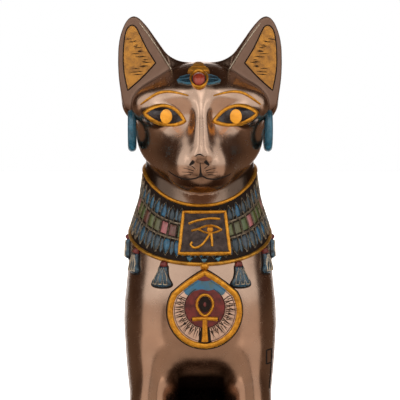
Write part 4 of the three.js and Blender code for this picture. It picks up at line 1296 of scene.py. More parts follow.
@dataclass
class Face:
    """What is painted and drawn on the head: places of x and z in shares, widths and heights in millimetres.

    What comes in pairs is given on the cat's left.
    """

    eye_inner: Spot = (2.6, 83.3)
    eye_outer: Spot = (8.9, 84.5)
    eye_middle: Spot = (5.7, 84.1)
    left_reach: float = 0.6
    upper_lid: Path = ((4, 86.1), (6.8, 86.4))
    lower_lid: Path = ((7.4, 82.7), (4.4, 82.0))
    white: Path = ((0.5, -0.8), (0.98, -0.8), (0.96, 0.15), (0.8, 0.2), (0.6, 0.25), (0.4, 0.28), (0.2, 0.3))
    rim: Spot = (2.5, 1.2)
    iris: Spot = (5.5, 84.0)
    iris_radii: Spot = (0.92, 1.07)
    iris_height: float = 0.8
    brow: Path = ((2.0, 87.3), (3.6, 87.7), (5.2, 87.9), (6.8, 87.6), (8.3, 86.7), (9.5, 85.8))
    brow_width: Spot = (0.5, 1.3)
    brow_height: float = 0.9
    mouth: Path = ((-5.2, 75.5), (-4.2, 74.9), (-2.6, 74.4), (-1.1, 74.5), (0, 74.9), (0.9, 74.5),
                   (2.3, 74.4), (3.6, 74.7), (4.7, 75.1))
    nose_top: Path = ((-1.1, 77.95), (-0.75, 78.2), (-0.35, 78.3), (0.05, 78.2), (0.35, 77.95))
    lip_line: Path = ((-0.25, 77.0), (-0.1, 74.75))
    nose_x: float = -0.35
    nostril_x: float = 1.05
    nostril_z: float = 77.0
    nostril: Path = ((-0.32, 77.2), (-0.02, 77.42), (0.22, 77.2), (0.55, 76.72), (0.45, 76.5), (-0.05, 76.72),
                     (-0.3, 76.95))
    whisker_x: float = -0.3
    whiskers: tuple = ((0.75, 76.05, 1.5, 76.6), (0.9, 75.7, 2.6, 76.15), (1.0, 75.4, 2.8, 75.5),
                       (1.3, 75.1, 2.5, 74.95))
    drawn: float = 0.12

    def eye_path(self, sign: float) -> list[Spot]:
        """Draws the outline of the lids on one side, once round."""
        inner = (self.eye_inner[0] - (self.left_reach if sign > 0 else 0), self.eye_inner[1])
        out = []
        curves = ((inner, self.upper_lid, self.eye_outer), (self.eye_outer, self.lower_lid, inner))
        for a, (b, c), d in curves:
            for t in (i / 16 for i in range(16)):
                s = 1 - t
                shares = (s**3, 3 * s * s * t, 3 * s * t * t, t**3)
                out.append(tuple(sum(w * p[k] for w, p in zip(shares, (a, b, c, d))) for k in range(2)))
        return mirrored(out, sign)

    def eye(self, sign: float, label: str) -> None:
        """Builds the eye and the brow of one side."""
        path = self.eye_path(sign)
        centre, pupil = mirrored([self.eye_middle, self.iris], sign)
        show(f"eye_white_{label}", Paint.SCLERA, plate(FRONT, path, centre, self.white))
        iris = plate(FRONT, circle(pupil, self.iris_radii, 28), pupil, flat_rings(self.iris_height))
        show(f"iris_{label}", Paint.IRIS, iris)
        show(f"eye_rim_{label}", Paint.GOLD, ribbon(FRONT, path, *self.rim, True))
        brow = smooth_path(mirrored(self.brow, sign), 5)
        least, more = self.brow_width
        show(f"brow_line_{label}", Paint.GOLD, ribbon(
            FRONT, brow, lambda t: least + more * math.sin(math.pi * min(max(t * 0.94 + 0.05, 0), 1)) ** 0.6,
            self.brow_height))

    def muzzle(self, sign: float) -> list[Shell]:
        """Draws the nostril of one side and the whiskers beside it."""
        middle = sign * self.nostril_x + self.nose_x
        hole = [(middle + sign * x, z) for x, z in self.nostril]
        rings = [(0.5, -ROOT_MM), (1, -ROOT_MM), (1, 0.1), (0.4, 0.14)]
        lines = [plate(FRONT, hole, (middle, self.nostril_z), rings)]
        for x0, z0, x1, z1 in self.whiskers:
            corners = mirrored([(x0, z0), ((x0 + x1) / 2, (z0 + z1) / 2 + 0.05), (x1, z1)], sign)
            whisker = smooth_path(moved(corners, (self.whisker_x, 0)), 5)
            lines.append(ribbon(FRONT, whisker, lambda t: 0.6 * (1 - 0.6 * t), self.drawn))
        return lines

    def build(self) -> None:
        """Builds both eyes, the brows, and the lines of nose and mouth."""
        for sign, label in SIDES:
            self.eye(sign, label)
        mouth, nose_top = smooth_path(self.mouth, 5), smooth_path(self.nose_top, 4)
        lines = [ribbon(FRONT, mouth, lambda t: 0.35 + 0.75 * math.sin(math.pi * t) ** 0.5, self.drawn),
                 ribbon(FRONT, nose_top, lambda t: 0.3 + 0.7 * math.sin(math.pi * t), self.drawn),
                 ribbon(FRONT, straight_path(self.lip_line, 8), lambda t: 0.6 + 2.2 * t * t, self.drawn)]
        show("muzzle_lines", Paint.WASH_AND_SHADE, *lines, *self.muzzle(-1), *self.muzzle(1))


@dataclass
class EarPaint:
    """The face of each ear with its ochre panel, dark outline, pale edge and drawn hairs.

    Places are the unsigned x and z in shares, widths and heights are in millimetres.

    Attributes:
        hair_edge: Heights and places of the panel's inner edge, from which the hairs start.
        hair_reach: Length of a hair and how much shorter it may be.
    """

    panel_foot: Path = ((11.65, 87.95), (9.35, 90.0), (7.15, 92.35))
    panel_rise: Path = ((7.15, 92.35), (8.55, 94.6), (9.75, 97.0), (10.3, 98.05), (11.0, 98.4), (11.75, 97.8),
                        (12.15, 96.3), (12.35, 93.8), (12.25, 91.0), (11.65, 87.95))
    panel_middle: Spot = (10.6, 92.6)
    panel_height: float = 0.3
    outline_size: Spot = (0.95, 0.5)
    edge: Path = ((9.7, 98.7), (8.6, 97.3), (6.75, 94.65), (4.65, 91.35))
    edge_size: Spot = (0.7, 0.8)
    edge_root: float = 1.4
    hairs: int = 20
    hair_low: float = 90.5
    hair_rise: float = 0.3
    hair_edge: tuple = ((90.4, 92.4, 94.6, 97.0), (9.1, 7.6, 8.9, 10.1))
    hair_reach: Spot = (2.4, 1.0)
    seeds: tuple = (9, 5)

    def combed(self, flat: Array) -> Array:
        """Lays the flat row's hairs nearly level, most of them at the panel's inner edge."""
        number = np.round(flat[:, 0])
        off = flat[:, 0] - number
        high = self.hair_low + number * self.hair_rise + 0.12 * np.sin(number * 2.3)
        start = np.interp(high, *self.hair_edge) + 0.95 + 1.2 * np.mod(number * 0.618, 1) * (number % 2 > 0)
        reach = (self.hair_reach[0] - self.hair_reach[1] * np.mod(number * 0.37, 1)) * (1 - 0.02 * number)
        fall = -0.1 - 0.12 * np.cos(number)
        return np.column_stack([start + flat[:, 1] * reach, high + flat[:, 1] * fall + off * 0.8])

    def build(self) -> None:
        """Builds both ears' paint."""
        outline = smooth_path(self.panel_foot, 6)[:-1] + smooth_path(self.panel_rise, 5)[:-1]
        edge = smooth_path(self.edge, 6)
        hair = flat_plate([(0.0, -0.5), (0.09, 0.1), (0.0, 0.5), (-0.09, 0.0)], (0, 0),
                          [(1, 0.1), (1, 0.5), (0.4, 0.6)])
        for (sign, label), seed in zip(SIDES, self.seeds):
            ground = EarGround(sign)
            panel = plate(ground, outline, self.panel_middle, flat_rings(self.panel_height))
            show(f"ear_panel_{label}", Paint.OCHRE, panel)
            show(f"ear_outline_{label}", Paint.WASH_AND_SHADE, ribbon(ground, outline, *self.outline_size, True))
            show(f"ear_edge_{label}", Paint.PALE, ribbon(ground, edge, *self.edge_size, root=self.edge_root))
            row = RowOfCopies().lay(f"ear_hairs_{label}", hair, self.hairs, 0.0, 1.0, seed, Paint.WASH_AND_SHADE, 0.55)
            hand_over(bend_onto(row, lambda flat, lift: ground.put(self.combed(flat), lift)))


@dataclass
class Scarab:
    """The winged stone on the brow, drawn about its middle in shares.

    Attributes:
        bars: Half width, height, thickness and lift of each bar on the crest.
    """

    middle: Spot = (-0.3, 89.7)
    wing: Path = ((0.8, -0.62), (2.0, -0.6), (3.35, -0.3), (2.8, 0.25), (1.9, 0.52), (0.9, 0.6))
    vein: Path = ((1.0, 0.1), (3.2, -0.2))
    wing_x: float = 1.9
    crest: Path = ((-1.75, 1.0), (1.75, 1.0), (1.55, 1.5), (1.05, 1.75), (0.75, 2.3), (0.3, 2.5),
                   (-0.3, 2.5), (-0.75, 2.3), (-1.05, 1.75), (-1.55, 1.5))
    crest_z: float = 1.7
    bars: tuple = ((1.6, 1.12, 0.9, 2.6), (1.1, 1.72, 0.6, 2.3))
    ring_radii: Spot = (1.16, 1.22)
    stone_radii: Spot = (1.0, 1.05)

    def build(self) -> None:
        """Builds wings, crest, ring and stone."""
        wings, edges, middle = [], [], self.middle
        for sign, _ in SIDES:
            outline = straight_path(moved(mirrored(self.wing, sign), middle), 4, True)
            vein = straight_path(moved(mirrored(self.vein, sign), middle), 6)
            wings.append(plate(FRONT, outline, (middle[0] + sign * self.wing_x, middle[1]), flat_rings(1.5)))
            edges += [ribbon(FRONT, outline, 0.5, 1.8, True), ribbon(FRONT, vein, 0.45, 1.9)]
        show("scarab_wings", Paint.SLATE, *wings)
        show("scarab_wing_edges", Paint.TEAL, *edges)
        crest = straight_path(moved(self.crest, middle), 3, True)
        centre = (middle[0], middle[1] + self.crest_z)
        show("scarab_crest", Paint.OCHRE, plate(FRONT, crest, centre, flat_rings(1.9)))
        bars = []
        for half, high, thick, lift in self.bars:
            line = straight_path(moved([(-half, high), (half, high)], middle), 8)
            bars.append(ribbon(FRONT, line, thick, lift))
        show("scarab_crest_bars", Paint.GOLD, *bars)
        show("scarab_ring", Paint.GOLD, ribbon(FRONT, circle(middle, self.ring_radii, 40), 1.7, 2.9, True))
        stone = plate(FRONT, circle(middle, self.stone_radii, 32), middle, dome_rings(3.4))
        show("scarab_stone", Paint.JASPER, stone)


@dataclass
class Earrings:
    """Thick enamel hoops against the cheeks, their centre in shares."""

    centre: Place = (10.95, -8.0, 81.6)
    outside_mm: float = 32.0
    wire_mm: float = 6.2

    def build(self) -> None:
        """Builds both hoops."""
        x_axis = np.array([1.0, 0, 0])
        for sign, label in SIDES:
            middle = to_model(np.array([sign * self.centre[0], *self.centre[1:]]))
            rings = []
            for a in np.linspace(0, 2 * math.pi, 56, endpoint=False):
                out = np.array([0.0, math.cos(a), math.sin(a)])
                hub = middle + out * (self.outside_mm - self.wire_mm) / 2 * MM
                rings.append(round_ring(hub, out, x_axis, self.wire_mm / 2 * MM, 20))
            show(f"earring_{label}", Paint.TEAL, loft(rings, True))


@dataclass
class Collar:
    """The broad collar: band, rims, rails, rows of petals and cells.

    Its places are an angle and a share of the width, its heights are in millimetres.

    Attributes:
        edge_share: Where the inside of a motif's pale edge lies, as a share of its outline.
        rows: Name, half width, foot, tip, middle, offset, seed, finish and height of each row of petals, and
            whether it has pale edges.
    """

    petals: int = 42
    cells: int = 47
    edge_share: float = 0.93
    steps: int = 240
    band: Path = ((0.02, -2), (0.02, 0.9), (0.3, 0.95), (0.6, 0.95), (0.98, 0.9), (0.98, -2))
    section: Path = ((0, -0.8), (0, 0.35), (0.12, 0.75), (0.32, 0.96), (0.5, 1), (0.68, 0.96), (0.88, 0.75),
                     (1, 0.35), (1, -0.8))
    petal_outline: Path = ((-0.62, 0), (0.62, 0), (0.92, 0.28), (0.86, 0.5), (0.56, 0.74), (0.22, 0.91),
                           (0, 1), (-0.22, 0.91), (-0.56, 0.74), (-0.86, 0.5), (-0.92, 0.28))
    rows: tuple = (
        ("collar_petals_behind", 0.7, 0.65, 0.93, 0.75, 0.5, 3, Paint.SLATE, 1.2, False),
        ("collar_petals_up", 0.86, 0.65, 0.9, 0.74, 0.0, 4, Paint.PETALS, 1.8, True),
        ("collar_petals_down_behind", 0.7, 0.38, 0.08, 0.26, 0.5, 6, Paint.SLATE, 1.2, False),
        ("collar_petals_down", 0.86, 0.38, 0.1, 0.27, 0.0, 8, Paint.PETALS, 1.8, True))
    cell_range: Spot = (0.402, 0.628)
    cell_width: float = 0.95

    def ring_of(self, profile: Path) -> Shell:
        """Sweeps a profile of shares of the width and lifts once round the neck."""
        angles = np.linspace(0, 2 * math.pi, self.steps, endpoint=False)
        rings = [COLLAR.put(np.column_stack([angles, np.full(self.steps, up)]), np.full(self.steps, lift))
                 for up, lift in profile]
        return loft(list(np.stack(rings, axis=1)), True)

    def raised(self, low: float, high: float, height: float) -> Shell:
        """Returns a rounded band between two shares of the width."""
        return self.ring_of([(low + (high - low) * a, b if b < 0 else b * height) for a, b in self.section])

    def row(self, name: str, outline: Path, centre: Spot, count: int, offset: float, seed: int,
            paint: Paint, height: float, edged: bool) -> None:
        """Lays a row of coloured motifs round the neck.

        Args:
            name, outline: The piece's name and the motif's outline.
            centre: The place that the outline draws in to.
            count, offset: How many there are, and how far the row is turned, as a share of a motif's place.
            seed, paint, height: Seed of the tones, finish and height.
            edged: Whether each has a pale edge, as one that lies in front has.
        """
        spacing = 2 * math.pi / count
        start = -math.pi + offset * spacing
        fill = flat_plate(outline, centre, [(0.9, -0.6), (0.9, height * 0.4), (0.7, height * 0.75),
                                            (0.35, height * 0.95)])
        rows = RowOfCopies()
        hand_over(bend_onto(rows.lay(name, fill, count, start, spacing, seed, paint), COLLAR.put))
        if edged:
            edge = flat_band(outline, centre, self.edge_share, height, 0.6)
            laid = rows.lay(name + "_edges", edge, count, start, spacing, seed, Paint.THIN_GILDING)
            hand_over(bend_onto(laid, COLLAR.put))

    def build(self) -> None:
        """Builds the whole collar."""
        show("collar_band", Paint.WASH_AND_SHADE, self.ring_of(self.band), sharp_deg=60)
        show("collar_upper_rim", Paint.GOLD, self.raised(0.942, 1.0, 2.1))
        show("collar_lower_rim", Paint.WORN_GOLD, self.raised(0.0, 0.062, 2.2))
        rails = self.raised(0.378, 0.4, 1.5), self.raised(0.63, 0.652, 1.5)
        show("collar_rails", Paint.THIN_GILDING, *rails)
        for name, wide, low, high, middle, offset, seed, paint, height, edged in self.rows:
            half = math.pi / self.petals * wide
            outline = [(half * a, low + (high - low) * b) for a, b in self.petal_outline]
            self.row(name, outline, (0, middle), self.petals, offset, seed, paint, height, edged)
        wide = math.pi / self.cells * self.cell_width
        low, high = self.cell_range
        cell = straight_path([(-wide, low), (wide, low), (wide, high), (-wide, high)], 3, True)
        self.row("collar_cells", cell, (0, (low + high) / 2), self.cells, 0.5, 2, Paint.CELLS, 1.5, True)


@dataclass
class Plaque:
    """The plaque on the collar's front with the eye sign, in shares; widths and heights are in millimetres.

    Attributes:
        strokes: Width and corners of each stroke of the sign, about the plaque's middle.
    """

    x: float = 0.5
    top: float = 68.9
    foot: float = 62.3
    half_top: float = 3.4
    half_foot: float = 4.2
    frame_line: Spot = (0.93, 0.95)
    frame_size: Spot = (2.7, 3.3)
    field_height: float = 2.1
    strokes: tuple = (
        (2.0, ((-2.4, 1.35), (-1.2, 1.8), (0.8, 2.15), (2.35, 2.05))),
        (1.9, ((-2.0, 0.25), (-1.0, 0.55), (0.4, 1.05), (1.6, 0.95), (2.6, 0.35))),
        (1.7, ((-0.9, 0.5), (0.2, 0.0), (1.3, -0.05), (2.6, 0.35))),
        (2.1, ((0.75, -0.2), (0.3, -1.0), (-0.5, -1.9), (-1.5, -2.3), (-2.1, -1.9), (-1.9, -1.45))),
        (2.3, ((1.0, -0.1), (1.1, -1.0), (1.15, -2.1))))
    stroke_height: float = 3.1
    pupil: Spot = (0.85, 0.5)
    pupil_radius: float = 0.62
    pupil_height: float = 3.5
    drops_x: float = -2.35
    drop_spacing: float = 2.25
    drops_z: float = 61.35
    sag: float = 0.045

    def build(self) -> None:
        """Builds field, frame, sign and the drops below."""
        centre = (self.x, (self.top + self.foot) / 2)
        wide, high = self.frame_line
        corners = [(self.half_top, self.top), (-self.half_top, self.top), (-self.half_foot, self.foot),
                   (self.half_foot, self.foot)]
        corners = [(-x * wide, (z - centre[1]) * high) for x, z in corners]
        outline = straight_path(moved(corners, centre), 10, True)
        show("plaque_field", Paint.PEWTER, plate(FRONT, outline, centre, flat_rings(self.field_height)))
        show("plaque_frame", Paint.GOLD, ribbon(FRONT, outline, *self.frame_size, True))
        sign = [ribbon(FRONT, smooth_path(moved(corners, centre), 6), width, self.stroke_height)
                for width, corners in self.strokes]
        pupil = moved([self.pupil], centre)[0]
        disc = circle(pupil, (self.pupil_radius, self.pupil_radius), 20)
        show("plaque_eye_sign", Paint.GOLD, *sign, plate(FRONT, disc, pupil, dome_rings(self.pupil_height)))
        drop = flat_plate([(-0.55, 0.35), (0.55, 0.35), (0, -0.45)], (0, 0.1),
                          [(0.9, -0.5), (1, 1.1), (0.6, 1.6)])
        row = RowOfCopies().lay("plaque_drops", drop, 3, self.x + self.drops_x, self.drop_spacing, 7,
                                Paint.TEAL)
        hand_over(bend_onto(row, lambda flat, lift: FRONT.put(np.column_stack([
            flat[:, 0], self.drops_z + flat[:, 1] + self.sag * (flat[:, 0] - self.x) ** 2]), lift)))


@dataclass
class Pendant:
    """The drop-shaped pendant with its ankh, in shares; widths and heights are in millimetres.

    Attributes:
        shoulder: Angle from upright at which the point's sides leave the round part, in degrees.
        point_inset: How much faster the point draws in than the round part.
        ray_start, ray_span: Angle of the first ray and the angle that all take up, in degrees.
    """

    x: float = 0.5
    top: float = 60.4
    centre_z: float = 53.6
    half: float = 6.05
    shoulder: float = 60.0
    point_inset: float = 1.15
    bow: float = 0.035
    sky_z: float = 56.7
    scallops: int = 4
    scallop_step: float = 1.62
    cap_z: float = 58.6
    sun: Spot = (0.5, 54.2)
    sun_half: float = 3.15
    rays: int = 88
    ray_start: float = -205
    ray_span: float = 230
    ankh_x: float = 0.52
    loop_z: float = 54.6
    loop_radii: Spot = (1.28, 1.6)
    bar_z: Spot = (52.45, 52.55)
    bar_half: Spot = (1.95, 0.3)
    stem: Spot = (52.7, 48.95)
    heart: Spot = (0.52, 54.7)

    def outline(self, inset: float) -> list[Spot]:
        """Draws the drop's outline once round, drawn in by an inset."""
        half = self.half - inset
        round_part = arc((self.x, self.centre_z), (half, half), self.shoulder - 270, 90 - self.shoulder, 72)
        apex = (self.x, self.top - inset * self.point_inset)
        left, right = self.bowed(round_part[-1], apex), self.bowed(apex, round_part[0])
        return round_part + left[1:] + right[1:-1]

    def bowed(self, start: Spot, end: Spot) -> list[Spot]:
        """Draws a side of the point: a straight run, bowed out a little."""
        out = []
        for x, z in straight_path([start, end], 14):
            along = math.dist((x, z), start) / math.dist(start, end)
            swell = 1 + self.bow * math.sin(math.pi * along)
            out.append((self.x + (x - self.x) * swell, self.centre_z + (z - self.centre_z) * swell))
        return out

    def above(self, inset: float, height: float) -> list[Spot]:
        """Returns the outline's places above a height, from left to right."""
        return sorted((p for p in self.outline(inset) if p[1] > height), key=lambda p: p[0])

    def field(self) -> None:
        """Builds plate, sky, cap and sun."""
        centre = (self.x, self.centre_z)
        show("pendant_shadow", Paint.WASH_AND_SHADE, plate(FRONT, self.outline(0.0), centre, flat_rings(0.5)))
        show("pendant_plate", Paint.BLUSH, plate(FRONT, self.outline(0.6), centre, flat_rings(1.7)))
        sky = self.above(0.75, self.sky_z)
        for i in range(self.scallops):
            middle = self.x + ((self.scallops - 1) / 2 - i) * self.scallop_step
            sky += arc((middle, self.sky_z + 0.05), (0.8, 0.7), 0, -180, 8)
        show("pendant_sky", Paint.AZURE, plate(FRONT, sky, (self.x, 57.6), flat_rings(2.0, 0.02)))
        cap = self.above(0.8, self.cap_z) + arc((self.x, self.cap_z + 0.15), (1.35, 0.5), 0, -180, 10)
        show("pendant_cap", Paint.RED, plate(FRONT, cap, (self.x, 58.8), flat_rings(2.2, 0.02)))
        radii = (self.sun_half, self.sun_half)
        sun = [(x, min(z, 57.0 + 0.12 * math.cos(x * 3))) for x, z in circle(self.sun, radii, 56)]
        show("pendant_sun", Paint.RED, plate(FRONT, sun, self.sun, flat_rings(2.1, 0.03)))
        lower = [p for p in circle(self.sun, radii, 72) if p[1] < 57.1]
        gaps = [abs(x - lower[i - 1][0]) + abs(z - lower[i - 1][1]) for i, (x, z) in enumerate(lower)]
        start = gaps.index(max(gaps))
        show("pendant_sun_edge", Paint.WASH_AND_SHADE, ribbon(FRONT, lower[start:] + lower[:start], 0.5, 2.4))

    def build(self) -> None:
        """Builds the field, then the rays, the ankh and the rim on it."""
        self.field()
        ray = flat_plate([(-0.075, 0), (0.0, 1), (0.075, 0)], (0, 0.4), [(1, 1.2), (1, 2.0), (0.5, 2.1)])
        row = RowOfCopies().lay("pendant_rays", ray, self.rays, 0.0, 1.0, 11, Paint.WASH_AND_SHADE, 0.5)
        hand_over(bend_onto(row, self.round_sun))
        self.ankh()
        show("pendant_rim_line", Paint.WASH_AND_SHADE, ribbon(FRONT, self.outline(1.36), 0.55, 2.1, True))
        show("pendant_rim", Paint.GOLD, ribbon(FRONT, self.outline(0.72), 4.4, 3.4, True))
        bead = (self.x, self.top + 0.15)
        show("pendant_bead", Paint.GOLD, plate(FRONT, circle(bead, (0.7, 0.6), 24), bead, dome_rings(4.6)))

    def round_sun(self, flat: Array, lift: Array) -> Array:
        """Bends the flat row, one ray at each whole number, round the lower part of the sun."""
        number = np.floor(flat[:, 0] + 0.5)
        off = flat[:, 0] - number
        angle = np.radians(self.ray_start + self.ray_span * number / (self.rays - 1))
        layer = np.mod(number, 2)
        radius = self.sun_half + 0.1 + layer * 0.5 + flat[:, 1] * (2.1 - 0.6 * layer)
        wobble = off * 1.1 / radius + 0.1 * np.sin(number * 1.7) * flat[:, 1]
        x = self.sun[0] + np.cos(angle + wobble) * radius
        z = self.sun[1] + np.sin(angle + wobble) * radius
        dx, dz = x - self.x, z - self.centre_z
        reach = np.hypot(dx, dz)
        limit = np.minimum(reach, self.half - 0.95) / np.maximum(reach, 1e-6)
        return FRONT.put(np.column_stack([self.x + dx * limit, self.centre_z + dz * limit]), lift)

    def ankh(self) -> None:
        """Builds the ankh, the dark wash and painted shadow round it, and what lies in its loop."""
        x, (low, high), (end, inner) = self.ankh_x, self.bar_z, self.bar_half
        loop = [(x + self.loop_radii[0] * math.sin(a), self.loop_z + self.loop_radii[1] * math.cos(a))
                for a in np.linspace(0, 2 * math.pi, 41)[:-1]]
        loop = [(x + (px - x) * (0.72 + 0.28 * min(max((pz - 52.8) / 1.8, 0), 1)), pz) for px, pz in loop]
        bar = straight_path([(x - end, low), (x - inner, high), (x + inner, high), (x + end, low)], 5)
        stem = straight_path([(x, self.stem[0]), (x, self.stem[1])], 16)
        show("ankh", Paint.GOLD, ribbon(FRONT, loop, 2.4, 3.8, True),
             ribbon(FRONT, bar, lambda t: 2.9 + 1.3 * abs(t - 0.5), 3.7),
             ribbon(FRONT, stem, lambda t: 3.9 + 1.9 * t * t, 3.5))
        show("ankh_wash_and_shadow", Paint.WASH_AND_SHADE, ribbon(FRONT, loop, 4.2, 2.35, True),
             ribbon(FRONT, straight_path([(x - 2.15, 52.4), (x + 2.15, 52.4)], 12), 3.6, 2.3),
             ribbon(FRONT, straight_path([(x, 52.4), (x, 48.6)], 14), lambda t: 5.2 + 7.5 * t, 2.3))
        inside = plate(FRONT, circle(self.heart, (0.95, 1.25), 24), self.heart, flat_rings(2.5))
        show("ankh_inside", Paint.WASH_AND_SHADE, inside)
        heart = plate(FRONT, circle(self.heart, (0.45, 0.7), 16), self.heart, dome_rings(2.9))
        show("ankh_heart", Paint.RED, heart)


@dataclass(frozen=True)
class TasselGround(Ground):
    """The neck under one tassel, addressed from -1 to 1 across it and from 0 down to -1 along it.

    Attributes:
        neck: The collar's half width in shares beside the axis, and how much more it is at front and back.
    """

    angle: float
    width_mm: float
    length_mm: float
    neck: Spot = (10.5, 4)

    def put(self, flat: Array, lift: Array) -> Array:
        """Places points level with the collar's lower edge at the tassel's own angle."""
        forward = math.cos(self.angle)
        reach = (COLLAR.top(forward) - COLLAR.foot(forward)) * SHARE
        across = self.width_mm / 2 / ((self.neck[0] + self.neck[1] * abs(forward)) * SHARE)
        spots = np.column_stack([self.angle + flat[:, 0] * across, flat[:, 1] * self.length_mm / reach])
        return COLLAR.put(spots, lift, np.full(len(flat), forward))


@dataclass
class Tassels:
    """Lotus bells hung along the collar's lower edge, six to a side, drawn in each one's own shares."""

    pairs: int = 6
    angles: Spot = (0.45, 0.5)
    length_mm: float = 16.0
    width_mm: float = 14.5
    height_mm: float = 3.4
    half_bell: Path = ((0.0, -0.2), (0.42, -0.22), (0.5, -0.42), (0.66, -0.66), (0.98, -0.88), (0.9, -1.0),
                       (0.55, -1.06), (0.0, -1.08))
    middle: Spot = (0, -0.66)
    shadow_scale: float = 1.16
    body: Path = ((1, 0.45), (0.9, 0.72), (0.7, 0.9), (0.4, 1), (0.15, 1))
    cap: Path = ((-0.26, 0.02), (0.26, 0.02), (0.38, -0.1), (0.36, -0.24), (-0.36, -0.24), (-0.38, -0.1))
    cap_middle: Spot = (0, -0.12)
    leaf: Path = ((0, -0.3), (1, -0.7), (0.75, -0.98), (-0.75, -0.98), (-1, -0.7))
    leaf_half: float = 0.2
    tilts: tuple = (-0.62, 0.62, 0.0)

    def bell(self, scale: float = 1.0) -> list[Spot]:
        """Draws the outline of the bell in a size."""
        outline = [*self.half_bell, *mirrored(self.half_bell[-2:0:-1], -1)]
        z = self.middle[1]
        return [(a * scale, z + (b - z) * scale) for a, b in smooth_path(outline, 3, True)]

    def leaf_line(self, ground: Ground, tilt: float) -> Shell:
        """Returns the raised outline of a leaf that leans by a tilt."""
        leaf = [(tilt * 0.35 + a * self.leaf_half + tilt * max(-b - 0.3, 0) * 0.75, b) for a, b in self.leaf]
        return ribbon(ground, straight_path(leaf, 3, True), 0.3, self.height_mm * 1.06, True)

    def build(self) -> None:
        """Builds every tassel's parts as shared pieces."""
        height, (first, spacing) = self.height_mm, self.angles
        grounds = [TasselGround(sign * (first + i * spacing), self.width_mm, self.length_mm)
                   for sign, _ in SIDES for i in range(self.pairs)]
        body = [(0.5, -ROOT_MM), (1, -ROOT_MM), *((scale, height * share) for scale, share in self.body)]
        cap = smooth_path(self.cap, 3, True)
        dark = self.bell(self.shadow_scale)
        shadows = [plate(ground, dark, self.middle, flat_rings(0.5)) for ground in grounds]
        bells = [plate(ground, self.bell(), self.middle, body) for ground in grounds]
        caps = [plate(ground, cap, self.cap_middle, dome_rings(height * 1.05)) for ground in grounds]
        show("tassel_shadows", Paint.WASH_AND_SHADE, *shadows)
        show("tassel_bells", Paint.SLATE, *bells)
        show("tassel_caps", Paint.RED, *caps)
        *sides, upright = self.tilts
        leaves = [self.leaf_line(ground, tilt) for ground in grounds for tilt in sides]
        leaves += [self.leaf_line(ground, upright) for ground in grounds]
        show("tassel_leaf_lines", Paint.PALE, *leaves)


@dataclass
class FlankMark:
    """A small incised frame low on the cat's left side, with a line down from it, in shares."""

    left: float = 10.4
    right: float = 11.3
    top: float = 46.9
    foot: float = 44.7
    line_foot: Spot = (10.95, 40.6)
    width_mm: float = 1.0
    height_mm: float = 0.3

    def build(self) -> None:
        """Builds the dark lines of the mark."""
        corners = [(self.left, self.foot), (self.left, self.top), (self.right, self.top),
                   (self.right, self.foot)]
        border = ribbon(FRONT, straight_path(corners, 6, True), self.width_mm, self.height_mm, True)
        line = ribbon(FRONT, straight_path([corners[-1], self.line_foot], 12), self.width_mm, self.height_mm)
        show("flank_mark", Paint.WASH_AND_SHADE, border, line)


# The studio


def direction(azimuth: float, elevation: float) -> Vector:
    """Returns the unit vector of a direction in degrees: from the front to the cat's left, and up."""
    a, e = math.radians(azimuth), math.radians(elevation)
    return Vector((math.sin(a) * math.cos(e), -math.cos(a) * math.cos(e), math.sin(e)))


@dataclass(frozen=True)
class SoftBox:
    """A rectangular light that looks at the figure's middle, unseen by the camera; degrees and metres."""

    name: str
    azimuth: float
    elevation: float
    distance: float
    size: Spot
    radiance: float
    colour: str = "#ffffff"
    aim: Place = (0, 0, 0.26)

    def build(self) -> Piece:
        """Adds the light."""
        light = bpy.data.lights.new(self.name, "AREA")
        light.shape, light.size, light.size_y = "RECTANGLE", *self.size
        light.energy = self.radiance * math.pi * self.size[0] * self.size[1]
        light.color = linear(self.colour)[:3]
        box = bpy.data.objects.new(self.name, light)
        bpy.context.scene.collection.objects.link(box)
        aim = Vector(self.aim)
        box.location = aim + direction(self.azimuth, self.elevation) * self.distance
        box.rotation_euler = (aim - box.location).to_track_quat("-Z", "Y").to_euler()
        box.visible_camera = False
        return box


